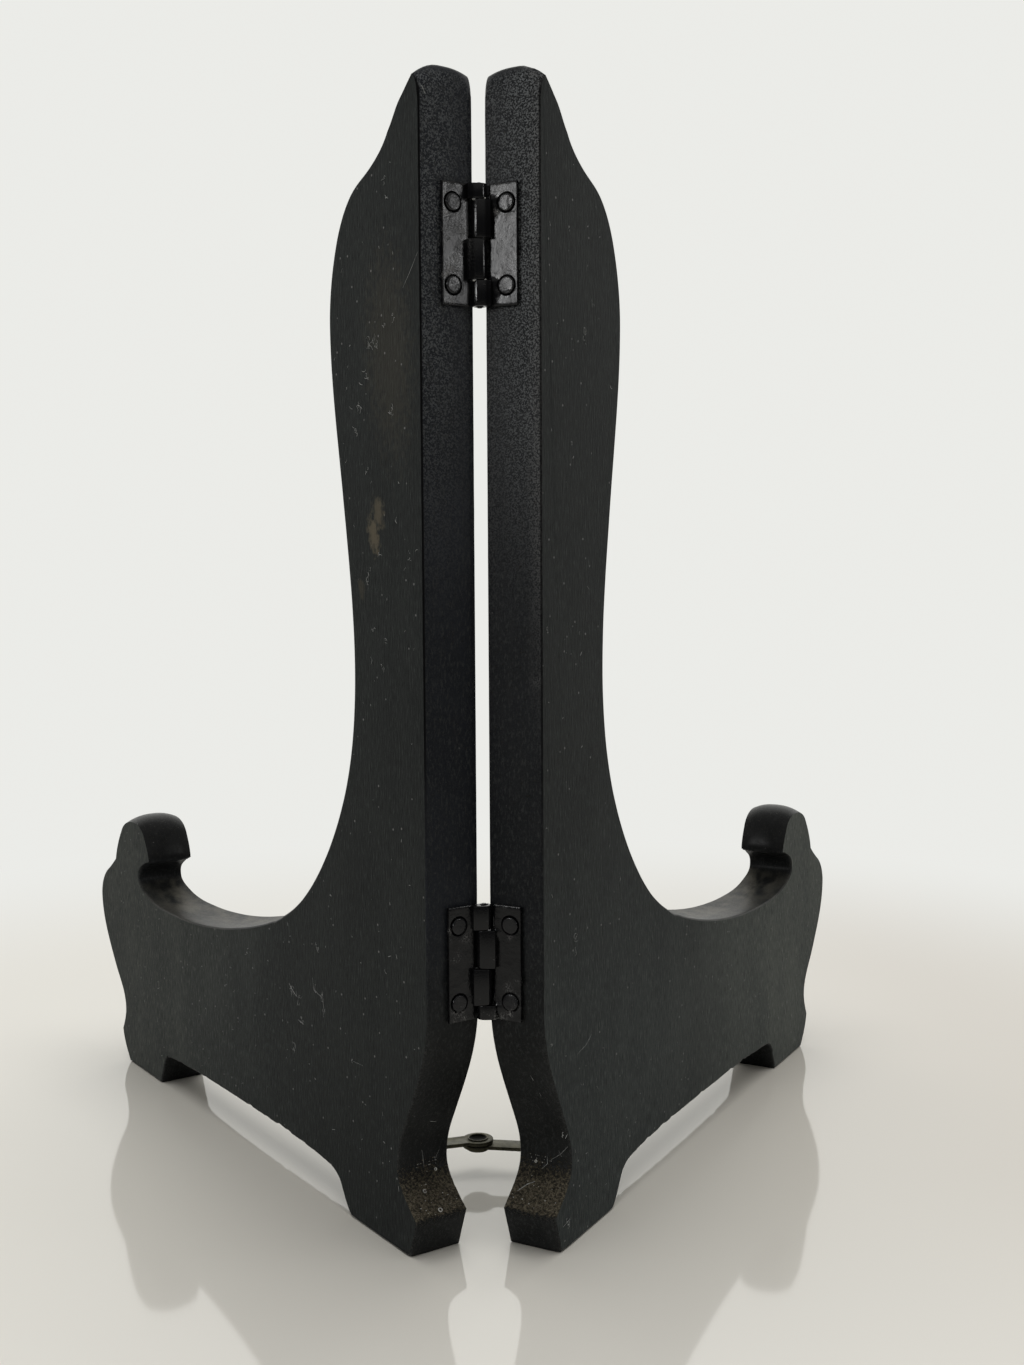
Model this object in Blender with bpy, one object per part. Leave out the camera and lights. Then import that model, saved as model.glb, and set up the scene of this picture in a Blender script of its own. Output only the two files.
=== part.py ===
"""Folding wooden display stand: two shaped boards hinged along their rear edges, with a
folding metal stay near the ground that stops them when they are open.

Sizes below are millimetres and are turned into metres as meshes are built. The row frame has
+Z up, the hinge axis vertical on X = 0, and the hooked arms reaching towards +Y.
Each board is drawn closed: its inner face lies beside the plane X = 0, u runs forward from its
rear edge, w runs outward from its inner face, and z runs up from the ground.
"""

import math

import bmesh
import bpy
from mathutils import Matrix, Vector

MM = 0.001

# Driving dimensions
BOARD_THICKNESS = 13.0
OPEN_HALF_ANGLE = math.radians(31.7)  # each board from the middle plane, with the stay taut
CLOSED_HALF_GAP = 0.2  # inner face to the middle plane when folded
EDGE_TO_AXIS = 1.95  # rear edge to the hinge axis
FIT_GAP = 0.3  # between pieces that rest on each other

# Hinges
HINGE_HEIGHT = 25.0
HINGE_CENTRES_Z = {"upper": 217.1, "lower": 66.3}
KNUCKLE_HEIGHTS = (3.2, 8.0, 8.4, 5.4)  # alternately left and right, from the top
KNUCKLE_GAP = 0.25
BARREL_RADIUS = 1.65
BORE_RADIUS = 0.95
PIN_RADIUS = 0.7
PIN_OVERHANG = 0.25
LEAF_THICKNESS = 0.8
LEAF_REACH = 8.2  # from the board's inner face
LEAF_CUTBACK = 2.1  # from the axis, beside the other leaf's knuckles
LEAF_CORNER = 0.4

# Nails
NAIL_SPREAD = 8.35  # above and below the hinge centre
NAIL_INSET = 5.7  # from the board's inner face
NAIL_SHANK_RADIUS = 0.6
NAIL_HEAD_RADIUS = 1.8
NAIL_LENGTH = 10.0
PILOT_RADIUS = 0.9
SINK_RADIUS = 2.15

# Stay
STAY_TOP = 8.7
LINK_THICKNESS = 0.9
LINK_WIDTH = 5.0
LINK_EYE_RADIUS = 3.8
LEFT_LINK_LENGTH = 33.7
RIGHT_LINK_LENGTH = 34.7
LEFT_SCREW_U = 50.0
RIGHT_SCREW_U = 51.5
LAYER_STEP = 1.1  # the right link lies this much lower at the rivet
JOGGLE = (14.0, 23.0)  # along the right link, from the rivet
RIVET_RADIUS = 1.5
RIVET_CUP_RADIUS = 2.5
SCREW_SHANK_RADIUS = 1.0
SCREW_HEAD_RADIUS = 2.6
SCREW_HEAD_HEIGHT = 1.3
SCREW_DEPTH = 9.0
SCREW_CLEARANCE = 0.25

CURVE_STEP = math.radians(6.5)  # turn from one outline point to the next
LONGEST_STEP = 16.0

# How the board's edge is eased, as (depth, width) at the inner face and at the outer face.
# A negative depth leaves the edge standing proud there, so that the seat tilts outward.
CRISP = ((0.4, 0.4), (0.4, 0.4))
SANDED = ((1.0, 1.2), (0.4, 0.4))
SEAT_BACK = ((-1.5, 8.0), (0.4, 0.4))
SEAT = ((-0.7, 8.0), (0.4, 0.4))
CREST = ((1.4, 6.4), (3.9, 6.5))
CREST_FRONT = ((1.4, 6.4), (2.1, 5.6))
LIP = ((0.7, 1.2), (0.4, 0.4))
CAP = ((1.1, 4.3), (1.9, 6.3))
CAP_FRONT = ((1.1, 0.9), (0.8, 1.0))

# Board outline as (u, z, heading in, heading out, edge), clockwise from the foot of the spine.
# Headings are in degrees, 0 towards +u and 90 up. A corner has two different headings.
OUTLINE = (
    (0.0, 56.0, 90, 90, CRISP),
    (0.0, 247.5, 90, 90, CRISP),
    (2.8, 253.3, 0, 0, CREST),
    (8.8, 248.4, -50, -50, CREST_FRONT),
    (12.8, 241.6, -54, -54, CRISP),
    (20.8, 235.4, -27, -27, SANDED),
    (28.8, 231.4, -38, -38, SANDED),
    (35.8, 221.6, -68, -68, SANDED),
    (39.2, 204.5, -90, -90, SANDED),
    (34.2, 166.0, -99, -99, SANDED),
    (29.9, 128.0, -90, -90, SANDED),
    (36.4, 97.0, -64, -64, SANDED),
    (54.8, 72.9, -41, -41, SEAT_BACK),
    (85.0, 58.8, -15, -15, SEAT_BACK),
    (136.0, 52.0, 0, 0, SEAT),
    (155.5, 53.8, 17, 17, SEAT),
    (162.2, 58.4, 90, 90, SEAT),
    (153.2, 63.6, 162, 92, LIP),
    (155.4, 71.3, 64, 64, CAP),
    (165.1, 76.2, 0, 0, CAP),
    (177.0, 71.2, -56, -56, CAP),
    (181.2, 61.4, -80, -38, CAP_FRONT),
    (188.0, 56.6, -30, -30, SANDED),
    (193.4, 48.2, -90, -90, SANDED),
    (183.4, 28.0, -127, -127, CRISP),
    (175.6, 16.2, -92, -92, CRISP),
    (178.4, 9.0, -62, -100, CRISP),
    (172.8, 0.0, -136, 180, CRISP),
    (148.4, 0.0, 180, 102, CRISP),
    (145.2, 7.0, 110, 110, CRISP),
    (140.6, 9.2, 176, 176, CRISP),
    (94.0, 10.4, 180, 180, CRISP),
    (47.0, 9.2, 185, 185, CRISP),
    (39.8, 6.0, 236, 236, CRISP),
    (35.0, 0.0, 215, 180, CRISP),
    (8.4, 0.0, 180, 109, CRISP),
    (5.2, 9.0, 109, 44, CRISP),
    (13.2, 19.0, 90, 90, CRISP),
    (8.2, 32.4, 117, 117, CRISP),
)


# ---------------------------------------------------------------- curves and outlines
def along(angle):
    return Vector((math.cos(angle), math.sin(angle)))


def turn_between(first, second):
    return (second - first + math.pi) % (2 * math.pi) - math.pi


def cubic(start, start_heading, end, end_heading):
    """Points of a cubic that leaves start and reaches end at the given headings, without its end."""
    chord = end - start
    chord_heading = math.atan2(chord.y, chord.x)
    bend = abs(turn_between(start_heading, chord_heading)) + abs(turn_between(chord_heading, end_heading))
    reach = chord.length / 3 * (1 + 0.05 * bend**2)
    a, b = start + along(start_heading) * reach, end - along(end_heading) * reach
    steps = max(1, round(bend / CURVE_STEP))
    if bend > 0.01:
        steps = max(steps, math.ceil(chord.length / LONGEST_STEP))
    for i in range(steps):
        t = i / steps
        s = 1 - t
        yield t, s**3 * start + 3 * s * s * t * a + 3 * s * t * t * b + t**3 * end


def mixed_edge(first, second, share):
    """An edge easing part of the way from one to another."""
    return tuple(
        tuple(a + (b - a) * share for a, b in zip(sides[0], sides[1])) for sides in zip(first, second)
    )


def board_outline():
    """Every outline point with its edge easing."""
    points = []
    for knot, following in zip(OUTLINE, OUTLINE[1:] + OUTLINE[:1]):
        run = cubic(
            Vector(knot[:2]), math.radians(knot[3]), Vector(following[:2]), math.radians(following[2])
        )
        points += [(point, mixed_edge(knot[4], following[4], share)) for share, point in run]
    return points


def inward_normals(points):
    """The direction into a clockwise outline at each point, lengthened at corners to keep its offset even."""
    normals = []
    for i, point in enumerate(points):
        before = (point - points[i - 1]).normalized()
        after = (points[(i + 1) % len(points)] - point).normalized()
        first, second = Vector((before.y, -before.x)), Vector((after.y, -after.x))
        middle = (first + second).normalized()
        normals.append(middle / max(middle.dot(first), 0.6))
    return normals


def circle(radius, steps, centre=(0.0, 0.0), start=0.0, sweep=2 * math.pi):
    """Points round an arc, counter-clockwise. A whole circle leaves out its last point."""
    last = steps if sweep >= 2 * math.pi else steps - 1
    return [Vector(centre) + along(start + sweep * i / last) * radius for i in range(steps)]


# ---------------------------------------------------------------- objects
def material(name, colour, roughness, metallic):
    made = bpy.data.materials.new(name)
    made.use_nodes = True
    shader = made.node_tree.nodes["Principled BSDF"]
    shader.inputs["Base Color"].default_value = (*colour, 1.0)
    shader.inputs["Roughness"].default_value = roughness
    shader.inputs["Metallic"].default_value = metallic
    return made


def empty(name, place, turn=0.0):
    made = bpy.data.objects.new(name, None)
    made.location = Vector(place) * MM
    made.rotation_euler.z = turn
    bpy.context.scene.collection.objects.link(made)
    return made


def add_object(name, mesh_builder, finish, parent=None, place=(0.0, 0.0, 0.0), turn=0.0):
    """An object from a bmesh in millimetres, shaded smooth except across sharp edges."""
    bmesh.ops.recalc_face_normals(mesh_builder, faces=mesh_builder.faces)
    bmesh.ops.scale(mesh_builder, vec=(MM, MM, MM), verts=mesh_builder.verts)
    mesh = bpy.data.meshes.new(name)
    mesh_builder.to_mesh(mesh)
    mesh_builder.free()
    mesh.shade_smooth()
    mesh.set_sharp_from_angle(angle=math.radians(35))
    if finish:
        mesh.materials.append(finish)
    made = bpy.data.objects.new(name, mesh)
    made.parent = parent
    made.location = Vector(place) * MM
    made.rotation_euler.z = turn
    bpy.context.scene.collection.objects.link(made)
    return made


def prism(outline, low, high):
    """A bmesh of a flat outline in X and Y, extruded from one height to another."""
    mesh_builder = bmesh.new()
    face = mesh_builder.faces.new([mesh_builder.verts.new((p[0], p[1], low)) for p in outline])
    grown = bmesh.ops.extrude_face_region(mesh_builder, geom=[face])["geom"]
    risen = [v for v in grown if isinstance(v, bmesh.types.BMVert)]
    bmesh.ops.translate(mesh_builder, verts=risen, vec=(0, 0, high - low))
    return mesh_builder


def turned(profile, steps):
    """A bmesh of a solid turned about Z from (radius, height) points that start and end on the axis."""
    mesh_builder = bmesh.new()
    verts = [mesh_builder.verts.new((r, 0.0, z)) for r, z in profile]
    edges = [mesh_builder.edges.new(pair) for pair in zip(verts, verts[1:])]
    bmesh.ops.spin(
        mesh_builder,
        geom=verts + edges,
        axis=(0, 0, 1),
        cent=(0, 0, 0),
        angle=2 * math.pi,
        steps=steps,
        use_merge=True,
    )
    bmesh.ops.remove_doubles(mesh_builder, verts=mesh_builder.verts, dist=1e-4)
    return mesh_builder


def joined(builders):
    """One bmesh holding the shapes of several."""
    whole = bmesh.new()
    for part in builders:
        mesh = bpy.data.meshes.new("part")
        part.to_mesh(mesh)
        part.free()
        whole.from_mesh(mesh)
        bpy.data.meshes.remove(mesh)
    return whole


def cut(target, mesh_builder):
    """Takes a shape, drawn in the target's own frame, out of the target."""
    cutter = add_object(target.name + "_cutter", mesh_builder, None, target.parent)
    cutter.location = target.location
    cutter.rotation_euler = target.rotation_euler
    cutter.hide_render = True
    cutter.display_type = "WIRE"
    boolean = target.modifiers.new("holes", "BOOLEAN")
    boolean.operation = "DIFFERENCE"
    boolean.object = cutter


def moved(mesh_builder, matrix):
    bmesh.ops.transform(mesh_builder, matrix=matrix, verts=mesh_builder.verts)
    return mesh_builder


def drilled(radius, depth, place, direction, mouth=1.0, sink=None, steps=12):
    """A drill shape whose mouth is at place and which goes in along direction.

    sink is the (radius, depth) of a conical mouth.
    """
    profile = [(0.0, -mouth)]
    if sink:
        slope = (sink[0] - radius) / sink[1]
        profile += [(sink[0] + slope * mouth, -mouth), (radius, sink[1])]
    else:
        profile += [(radius, -mouth)]
    profile += [(radius, depth), (0.0, depth)]
    turn = Vector((0, 0, 1)).rotation_difference(Vector(direction)).to_matrix().to_4x4()
    return moved(turned(profile, steps), Matrix.Translation(Vector(place)) @ turn)


# ---------------------------------------------------------------- boards
def easing_stations(edge):
    """(w, inset) pairs through the board's thickness for an edge easing."""
    (inner_depth, inner_width), (outer_depth, outer_width) = edge
    shares = (0.0, 0.3, 0.62, 1.0)
    inner = [(inner_width * s, inner_depth * (1 - s) ** 2) for s in shares]
    outer = [(BOARD_THICKNESS - outer_width * s, outer_depth * (1 - s) ** 2) for s in reversed(shares)]
    return inner + outer


def hinge_nails():
    """(hinge name, nail name, height) of each nail on one board."""
    for hinge, centre in HINGE_CENTRES_Z.items():
        for nail, up in (("top", 1), ("bottom", -1)):
            yield hinge, nail, centre + up * NAIL_SPREAD


def make_board(name, side, screw_u, finish, parent):
    outline = board_outline()
    points = [point for point, _ in outline]
    normals = inward_normals(points)
    mesh_builder = bmesh.new()
    rings = []
    for station in range(len(easing_stations(CRISP))):
        ring = []
        for (point, edge), normal in zip(outline, normals):
            w, inset = easing_stations(edge)[station]
            u, z = point + normal * inset
            ring.append(mesh_builder.verts.new((side * (CLOSED_HALF_GAP + w), EDGE_TO_AXIS + u, z)))
        rings.append(ring)
    for ring, following in zip(rings, rings[1:]):
        for i in range(len(ring)):
            mesh_builder.faces.new((ring[i - 1], ring[i], following[i], following[i - 1]))
    mesh_builder.faces.new(rings[0])
    mesh_builder.faces.new(rings[-1])
    board = add_object(name, mesh_builder, finish, parent)
    holes = [
        drilled(
            PILOT_RADIUS,
            NAIL_LENGTH + 1,
            (side * (CLOSED_HALF_GAP + NAIL_INSET), EDGE_TO_AXIS, height),
            (0, 1, 0),
        )
        for _, _, height in hinge_nails()
    ]
    holes.append(
        drilled(
            SCREW_SHANK_RADIUS + SCREW_CLEARANCE,
            SCREW_DEPTH + 1,
            (side * (CLOSED_HALF_GAP + BOARD_THICKNESS / 2), EDGE_TO_AXIS + screw_u, STAY_TOP),
            (0, 0, 1),
        )
    )
    cut(board, joined(holes))
    return board


# ---------------------------------------------------------------- hinges
def knuckle_spans(hinge):
    """(owner, low, high) of each knuckle. The lower hinge is the same piece turned end for end."""
    top = HINGE_HEIGHT / 2
    for i, height in enumerate(KNUCKLE_HEIGHTS):
        low = top - height
        if hinge == "upper":
            yield (-1, 1)[i % 2], low, top
        else:
            yield (1, -1)[i % 2], -top, -low
        top = low


def make_leaf(hinge, side, finish, parent):
    centre = HINGE_CENTRES_Z[hinge]
    back = EDGE_TO_AXIS - FIT_GAP
    front = back - LEAF_THICKNESS
    end = CLOSED_HALF_GAP + LEAF_REACH
    meeting = math.asin(front / BARREL_RADIUS)
    roll = circle(BARREL_RADIUS, 19, start=math.pi / 2, sweep=1.5 * math.pi + meeting)
    outline = roll + [
        Vector((end - LEAF_CORNER / 2, front)),
        Vector((end, front + LEAF_CORNER / 2)),
        Vector((end, back)),
    ]
    outline = [Vector((side * p.x, p.y)) for p in outline]
    half = HINGE_HEIGHT / 2
    leaf = add_object(
        f"{hinge}_hinge_{'left' if side < 0 else 'right'}_leaf",
        prism(outline, -half, half),
        finish,
        parent,
        (0.0, 0.0, centre),
    )
    cut(leaf, prism(circle(BORE_RADIUS, 16), -half - 1, half + 1))
    removed = []
    for owner, low, high in knuckle_spans(hinge):
        if owner == side:
            continue
        low = low - (1 if low <= -half else KNUCKLE_GAP / 2)
        high = high + (1 if high >= half else KNUCKLE_GAP / 2)
        reach = LEAF_CUTBACK
        box = [(-reach - 1, -3), (reach, -3), (reach, 3), (-reach - 1, 3)]
        removed.append(prism([(side * x, y) for x, y in box], low, high))
    cut(leaf, joined(removed))
    nail_holes = [
        drilled(
            NAIL_SHANK_RADIUS + 0.25,
            2.0,
            (side * (CLOSED_HALF_GAP + NAIL_INSET), front, up * NAIL_SPREAD),
            (0, 1, 0),
            sink=(SINK_RADIUS, LEAF_THICKNESS * 0.8),
            steps=20,
        )
        for up in (-1, 1)
    ]
    cut(leaf, joined(nail_holes))
    return leaf


def make_hinge_pin(hinge, finish, parent):
    half = HINGE_HEIGHT / 2 + PIN_OVERHANG
    dome = PIN_RADIUS * 0.6
    profile = [(0.0, -half), (dome, -half), (PIN_RADIUS, -half + 0.2)]
    profile += [(PIN_RADIUS, half - 0.2), (dome, half), (0.0, half)]
    return add_object(
        f"{hinge}_hinge_pin", turned(profile, 12), finish, parent, (0, 0, HINGE_CENTRES_Z[hinge])
    )


def make_nail(name, side, height, finish, parent):
    """A cut-off panel pin with a low domed head that beds in the leaf's conical hole."""
    surface = EDGE_TO_AXIS - FIT_GAP - LEAF_THICKNESS
    rim = NAIL_HEAD_RADIUS
    profile = [
        (0.0, NAIL_LENGTH),
        (NAIL_SHANK_RADIUS, NAIL_LENGTH - 1.5),
        (NAIL_SHANK_RADIUS, 0.55),
        (rim, -0.12),
        (rim, -0.32),
        (rim * 0.72, -0.48),
        (rim * 0.35, -0.55),
        (0.0, -0.57),
    ]
    turn = Matrix.Rotation(-math.pi / 2, 4, "X")
    return add_object(
        name,
        moved(turned(profile, 18), turn),
        finish,
        parent,
        (side * (CLOSED_HALF_GAP + NAIL_INSET), surface, height),
    )


# ---------------------------------------------------------------- stay
def link_outline(length):
    """A strip with round eyes at 0 and at length along X."""
    half = LINK_WIDTH / 2
    cover = math.asin(half / LINK_EYE_RADIUS)
    arc = 2 * (math.pi - cover)
    near = circle(LINK_EYE_RADIUS, 17, start=cover, sweep=arc)
    far = circle(LINK_EYE_RADIUS, 17, (length, 0), start=cover - math.pi, sweep=arc)
    return near + far


def make_link(name, length, place, turn, finish, steps_down):
    """A link whose far eye holds the rivet. One that steps down is joggled under the other link."""
    bottom = STAY_TOP - LINK_THICKNESS
    mesh_builder = prism(link_outline(length), bottom, STAY_TOP)
    for at in (length - JOGGLE[0], length - JOGGLE[1]) if steps_down else ():
        bmesh.ops.bisect_plane(
            mesh_builder,
            geom=mesh_builder.verts[:] + mesh_builder.edges[:] + mesh_builder.faces[:],
            plane_co=(at, 0, 0),
            plane_no=(1, 0, 0),
        )
    if steps_down:
        begin, end = length - JOGGLE[1], length - JOGGLE[0]
        for vert in mesh_builder.verts:
            share = min(1.0, max(0.0, (vert.co.x - begin) / (end - begin)))
            vert.co.z -= LAYER_STEP * share
    link = add_object(name, mesh_builder, finish, None, place, turn)
    screw_hole = drilled(
        SCREW_SHANK_RADIUS + SCREW_CLEARANCE, LINK_THICKNESS + 1, (0, 0, bottom), (0, 0, 1), steps=16
    )
    holes = [screw_hole]
    if not steps_down:
        holes.append(
            drilled(
                RIVET_RADIUS + 0.2,
                LINK_THICKNESS + 2,
                (length, 0, STAY_TOP),
                (0, 0, -1),
                sink=(RIVET_CUP_RADIUS + 0.2, LINK_THICKNESS * 0.7),
                steps=20,
            )
        )
    cut(link, joined(holes))
    return link


def make_rivet(place, finish, parent):
    """A hollow rivet's rolled cup, set in the upper link. Its end stops short of the lower link."""
    low = STAY_TOP - LINK_THICKNESS + 0.05
    profile = [
        (0.0, low),
        (RIVET_RADIUS, low),
        (RIVET_RADIUS, STAY_TOP - LINK_THICKNESS * 0.55),
        (RIVET_CUP_RADIUS, STAY_TOP + 0.1),
        (RIVET_CUP_RADIUS - 0.1, STAY_TOP + 0.3),
        (RIVET_CUP_RADIUS - 0.45, STAY_TOP + 0.22),
        (RIVET_RADIUS * 0.85, STAY_TOP - 0.35),
        (0.0, STAY_TOP - 0.5),
    ]
    return add_object("stay_rivet", turned(profile, 24), finish, parent, place)


def make_rivet_washer(place, finish, parent):
    """The washer and closed tail of the rivet, under the lower link."""
    top = STAY_TOP - LAYER_STEP - LINK_THICKNESS - 0.2
    profile = [
        (0.0, top),
        (2.7, top),
        (2.7, top - 0.5),
        (1.7, top - 0.55),
        (1.3, top - 0.95),
        (0.0, top - 1.05),
    ]
    return add_object("stay_rivet_washer", turned(profile, 20), finish, parent, place)


def make_screw(name, place, finish, parent):
    """A slotted round-head wood screw, driven upward through a link's eye."""
    seat = STAY_TOP - LINK_THICKNESS - 0.2
    head = SCREW_HEAD_RADIUS
    tip = STAY_TOP + SCREW_DEPTH
    profile = [
        (0.0, tip),
        (SCREW_SHANK_RADIUS, tip - 2.0),
        (SCREW_SHANK_RADIUS, seat),
        (head, seat),
        (head * 0.94, seat - SCREW_HEAD_HEIGHT * 0.45),
        (head * 0.66, seat - SCREW_HEAD_HEIGHT * 0.85),
        (head * 0.3, seat - SCREW_HEAD_HEIGHT),
        (0.0, seat - SCREW_HEAD_HEIGHT),
    ]
    screw = add_object(name, turned(profile, 20), finish, parent, place)
    slot = [(-head - 1, -0.3), (head + 1, -0.3), (head + 1, 0.3), (-head - 1, 0.3)]
    bottom = seat - SCREW_HEAD_HEIGHT
    cut(screw, prism(slot, bottom - 1, bottom + 0.6))
    return screw


def turned_point(point, angle):
    return Matrix.Rotation(angle, 2) @ Vector(point)


def elbow(start, end, first_length, second_length):
    """Where two links of these lengths meet, on the left of the way from start to end."""
    way = end - start
    distance = way.length
    way.normalize()
    share = (first_length**2 - second_length**2 + distance**2) / (2 * distance)
    rise = math.sqrt(first_length**2 - share**2)
    return start + way * share + Vector((-way.y, way.x)) * rise


# ---------------------------------------------------------------- the whole stand
def pin_y():
    """The hinge axis's Y that puts the middle of the stand's depth on Y = 0."""
    front_u = max(point.x for point, _ in board_outline())
    rear = turned_point((CLOSED_HALF_GAP + BOARD_THICKNESS - CRISP[1][0], EDGE_TO_AXIS), -OPEN_HALF_ANGLE)
    front = turned_point((CLOSED_HALF_GAP + SANDED[0][1], EDGE_TO_AXIS + front_u), -OPEN_HALF_ANGLE)
    return -(front.y + rear.y) / 2


def main():
    for old in list(bpy.data.objects):
        bpy.data.objects.remove(old, do_unlink=True)

    black_wood = material("black_painted_wood", (0.028, 0.029, 0.031), 0.55, 0.0)
    black_steel = material("black_enamelled_steel", (0.02, 0.02, 0.022), 0.25, 0.6)
    dull_brass = material("aged_brass", (0.16, 0.13, 0.085), 0.45, 0.9)

    axis = Vector((0.0, pin_y()))
    frames = {side: empty(name, (*axis, 0.0), -side * OPEN_HALF_ANGLE) for side, name in (
        (-1, "left_board_axis"),
        (1, "right_board_axis"),
    )}
    screw_u = {-1: LEFT_SCREW_U, 1: RIGHT_SCREW_U}
    middle = CLOSED_HALF_GAP + BOARD_THICKNESS / 2
    pivots = {}
    for side, hand in ((-1, "left"), (1, "right")):
        frame = frames[side]
        make_board(f"{hand}_panel", side, screw_u[side], black_wood, frame)
        for hinge in HINGE_CENTRES_Z:
            make_leaf(hinge, side, black_steel, frame)
        for hinge, nail, height in hinge_nails():
            make_nail(f"{hinge}_hinge_{hand}_nail_{nail}", side, height, black_steel, frame)
        local = (side * middle, EDGE_TO_AXIS + screw_u[side])
        make_screw(f"stay_{hand}_screw", (*local, 0.0), dull_brass, frame)
        pivots[side] = axis + turned_point(local, -side * OPEN_HALF_ANGLE)
    for hinge in HINGE_CENTRES_Z:
        make_hinge_pin(hinge, black_steel, frames[-1])

    rivet = elbow(pivots[-1], pivots[1], LEFT_LINK_LENGTH, RIGHT_LINK_LENGTH)
    for side, hand, length in ((-1, "left", LEFT_LINK_LENGTH), (1, "right", RIGHT_LINK_LENGTH)):
        way = rivet - pivots[side]
        link = make_link(
            f"stay_{hand}_link",
            length,
            (*pivots[side], 0.0),
            math.atan2(way.y, way.x),
            dull_brass,
            steps_down=side > 0,
        )
        make = make_rivet if side < 0 else make_rivet_washer
        make((length, 0.0, 0.0), dull_brass, link)


main()
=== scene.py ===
"""Looks of the folding photo album stand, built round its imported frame.

Shapes are drawn in millimetres in a board's closed frame, as in the CAD: u runs forward from the rear edge,
w outward from the inner face and z up. They are turned to the open stand and into metres as pieces are made.
"""

import random
from math import asin, atan2, ceil, cos, dist, exp, pi, radians, sin, sqrt, tanh

import bmesh
import bpy
from mathutils import Matrix, Vector, noise


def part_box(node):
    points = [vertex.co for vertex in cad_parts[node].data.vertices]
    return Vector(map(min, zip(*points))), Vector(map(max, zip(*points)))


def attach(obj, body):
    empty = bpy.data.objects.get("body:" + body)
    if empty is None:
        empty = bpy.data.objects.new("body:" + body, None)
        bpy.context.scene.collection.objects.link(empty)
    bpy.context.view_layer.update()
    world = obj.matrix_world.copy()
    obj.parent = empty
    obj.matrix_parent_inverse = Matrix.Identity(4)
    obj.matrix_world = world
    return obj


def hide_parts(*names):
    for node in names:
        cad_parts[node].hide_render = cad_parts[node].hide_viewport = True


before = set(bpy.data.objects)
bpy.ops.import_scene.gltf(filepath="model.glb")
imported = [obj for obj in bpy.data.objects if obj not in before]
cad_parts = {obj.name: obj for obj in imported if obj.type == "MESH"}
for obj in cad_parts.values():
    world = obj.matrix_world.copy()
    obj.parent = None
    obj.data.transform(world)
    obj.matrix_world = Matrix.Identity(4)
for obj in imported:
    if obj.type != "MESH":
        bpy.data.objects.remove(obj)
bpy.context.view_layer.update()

MM = 0.001
pin_low, pin_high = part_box("upper_hinge_pin")
PIN_Y = (pin_low.y + pin_high.y) / 2 / MM
THICKNESS = 13.0
HALF_ANGLE = radians(31.7)
HALF_GAP = 0.2
EDGE_TO_AXIS = 1.95
SIDES = {-1: "left", 1: "right"}


# ---------- frames
ABOUT_PIN = Matrix.Scale(MM, 4) @ Matrix.Translation((0, PIN_Y, 0))


def board_frame(side):
    """From a board's closed frame, in millimetres, to the row frame, in metres."""
    return ABOUT_PIN @ Matrix.Rotation(-side * HALF_ANGLE, 4, "Z")


def closed(side, u, w, z):
    return Vector((side * (HALF_GAP + w), EDGE_TO_AXIS + u, z))


def ramp(value, low, high):
    share = min(1.0, max(0.0, (value - low) / (high - low)))
    return share * share * (3 - 2 * share)


def new_object(name, data):
    made = bpy.data.objects.new(name, data)
    bpy.context.scene.collection.objects.link(made)
    return made


# ---------- camera
CAMERA_RIGHT = Vector((0.99857675, -0.05306143, -0.0053805))
CAMERA_DOWN = Vector((-0.00989048, -0.08510296, -0.99632307))
CAMERA_AHEAD = Vector((0.05240843, 0.99495828, -0.08550665))
CAMERA_PLACE = Vector((-11.311, PIN_Y - 333.859, 155.103)) * MM
camera_data = bpy.data.cameras.new("camera")
camera_data.lens = 41.778
camera_data.sensor_width = 36.0
camera_data.clip_start = 0.01
camera = new_object("camera", camera_data)
camera_axes = Matrix((CAMERA_RIGHT, -CAMERA_DOWN, -CAMERA_AHEAD)).transposed().to_4x4()
camera.matrix_world = Matrix.Translation(CAMERA_PLACE) @ camera_axes
bpy.context.scene.camera = camera
bpy.context.scene.view_settings.view_transform = "Standard"


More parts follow.
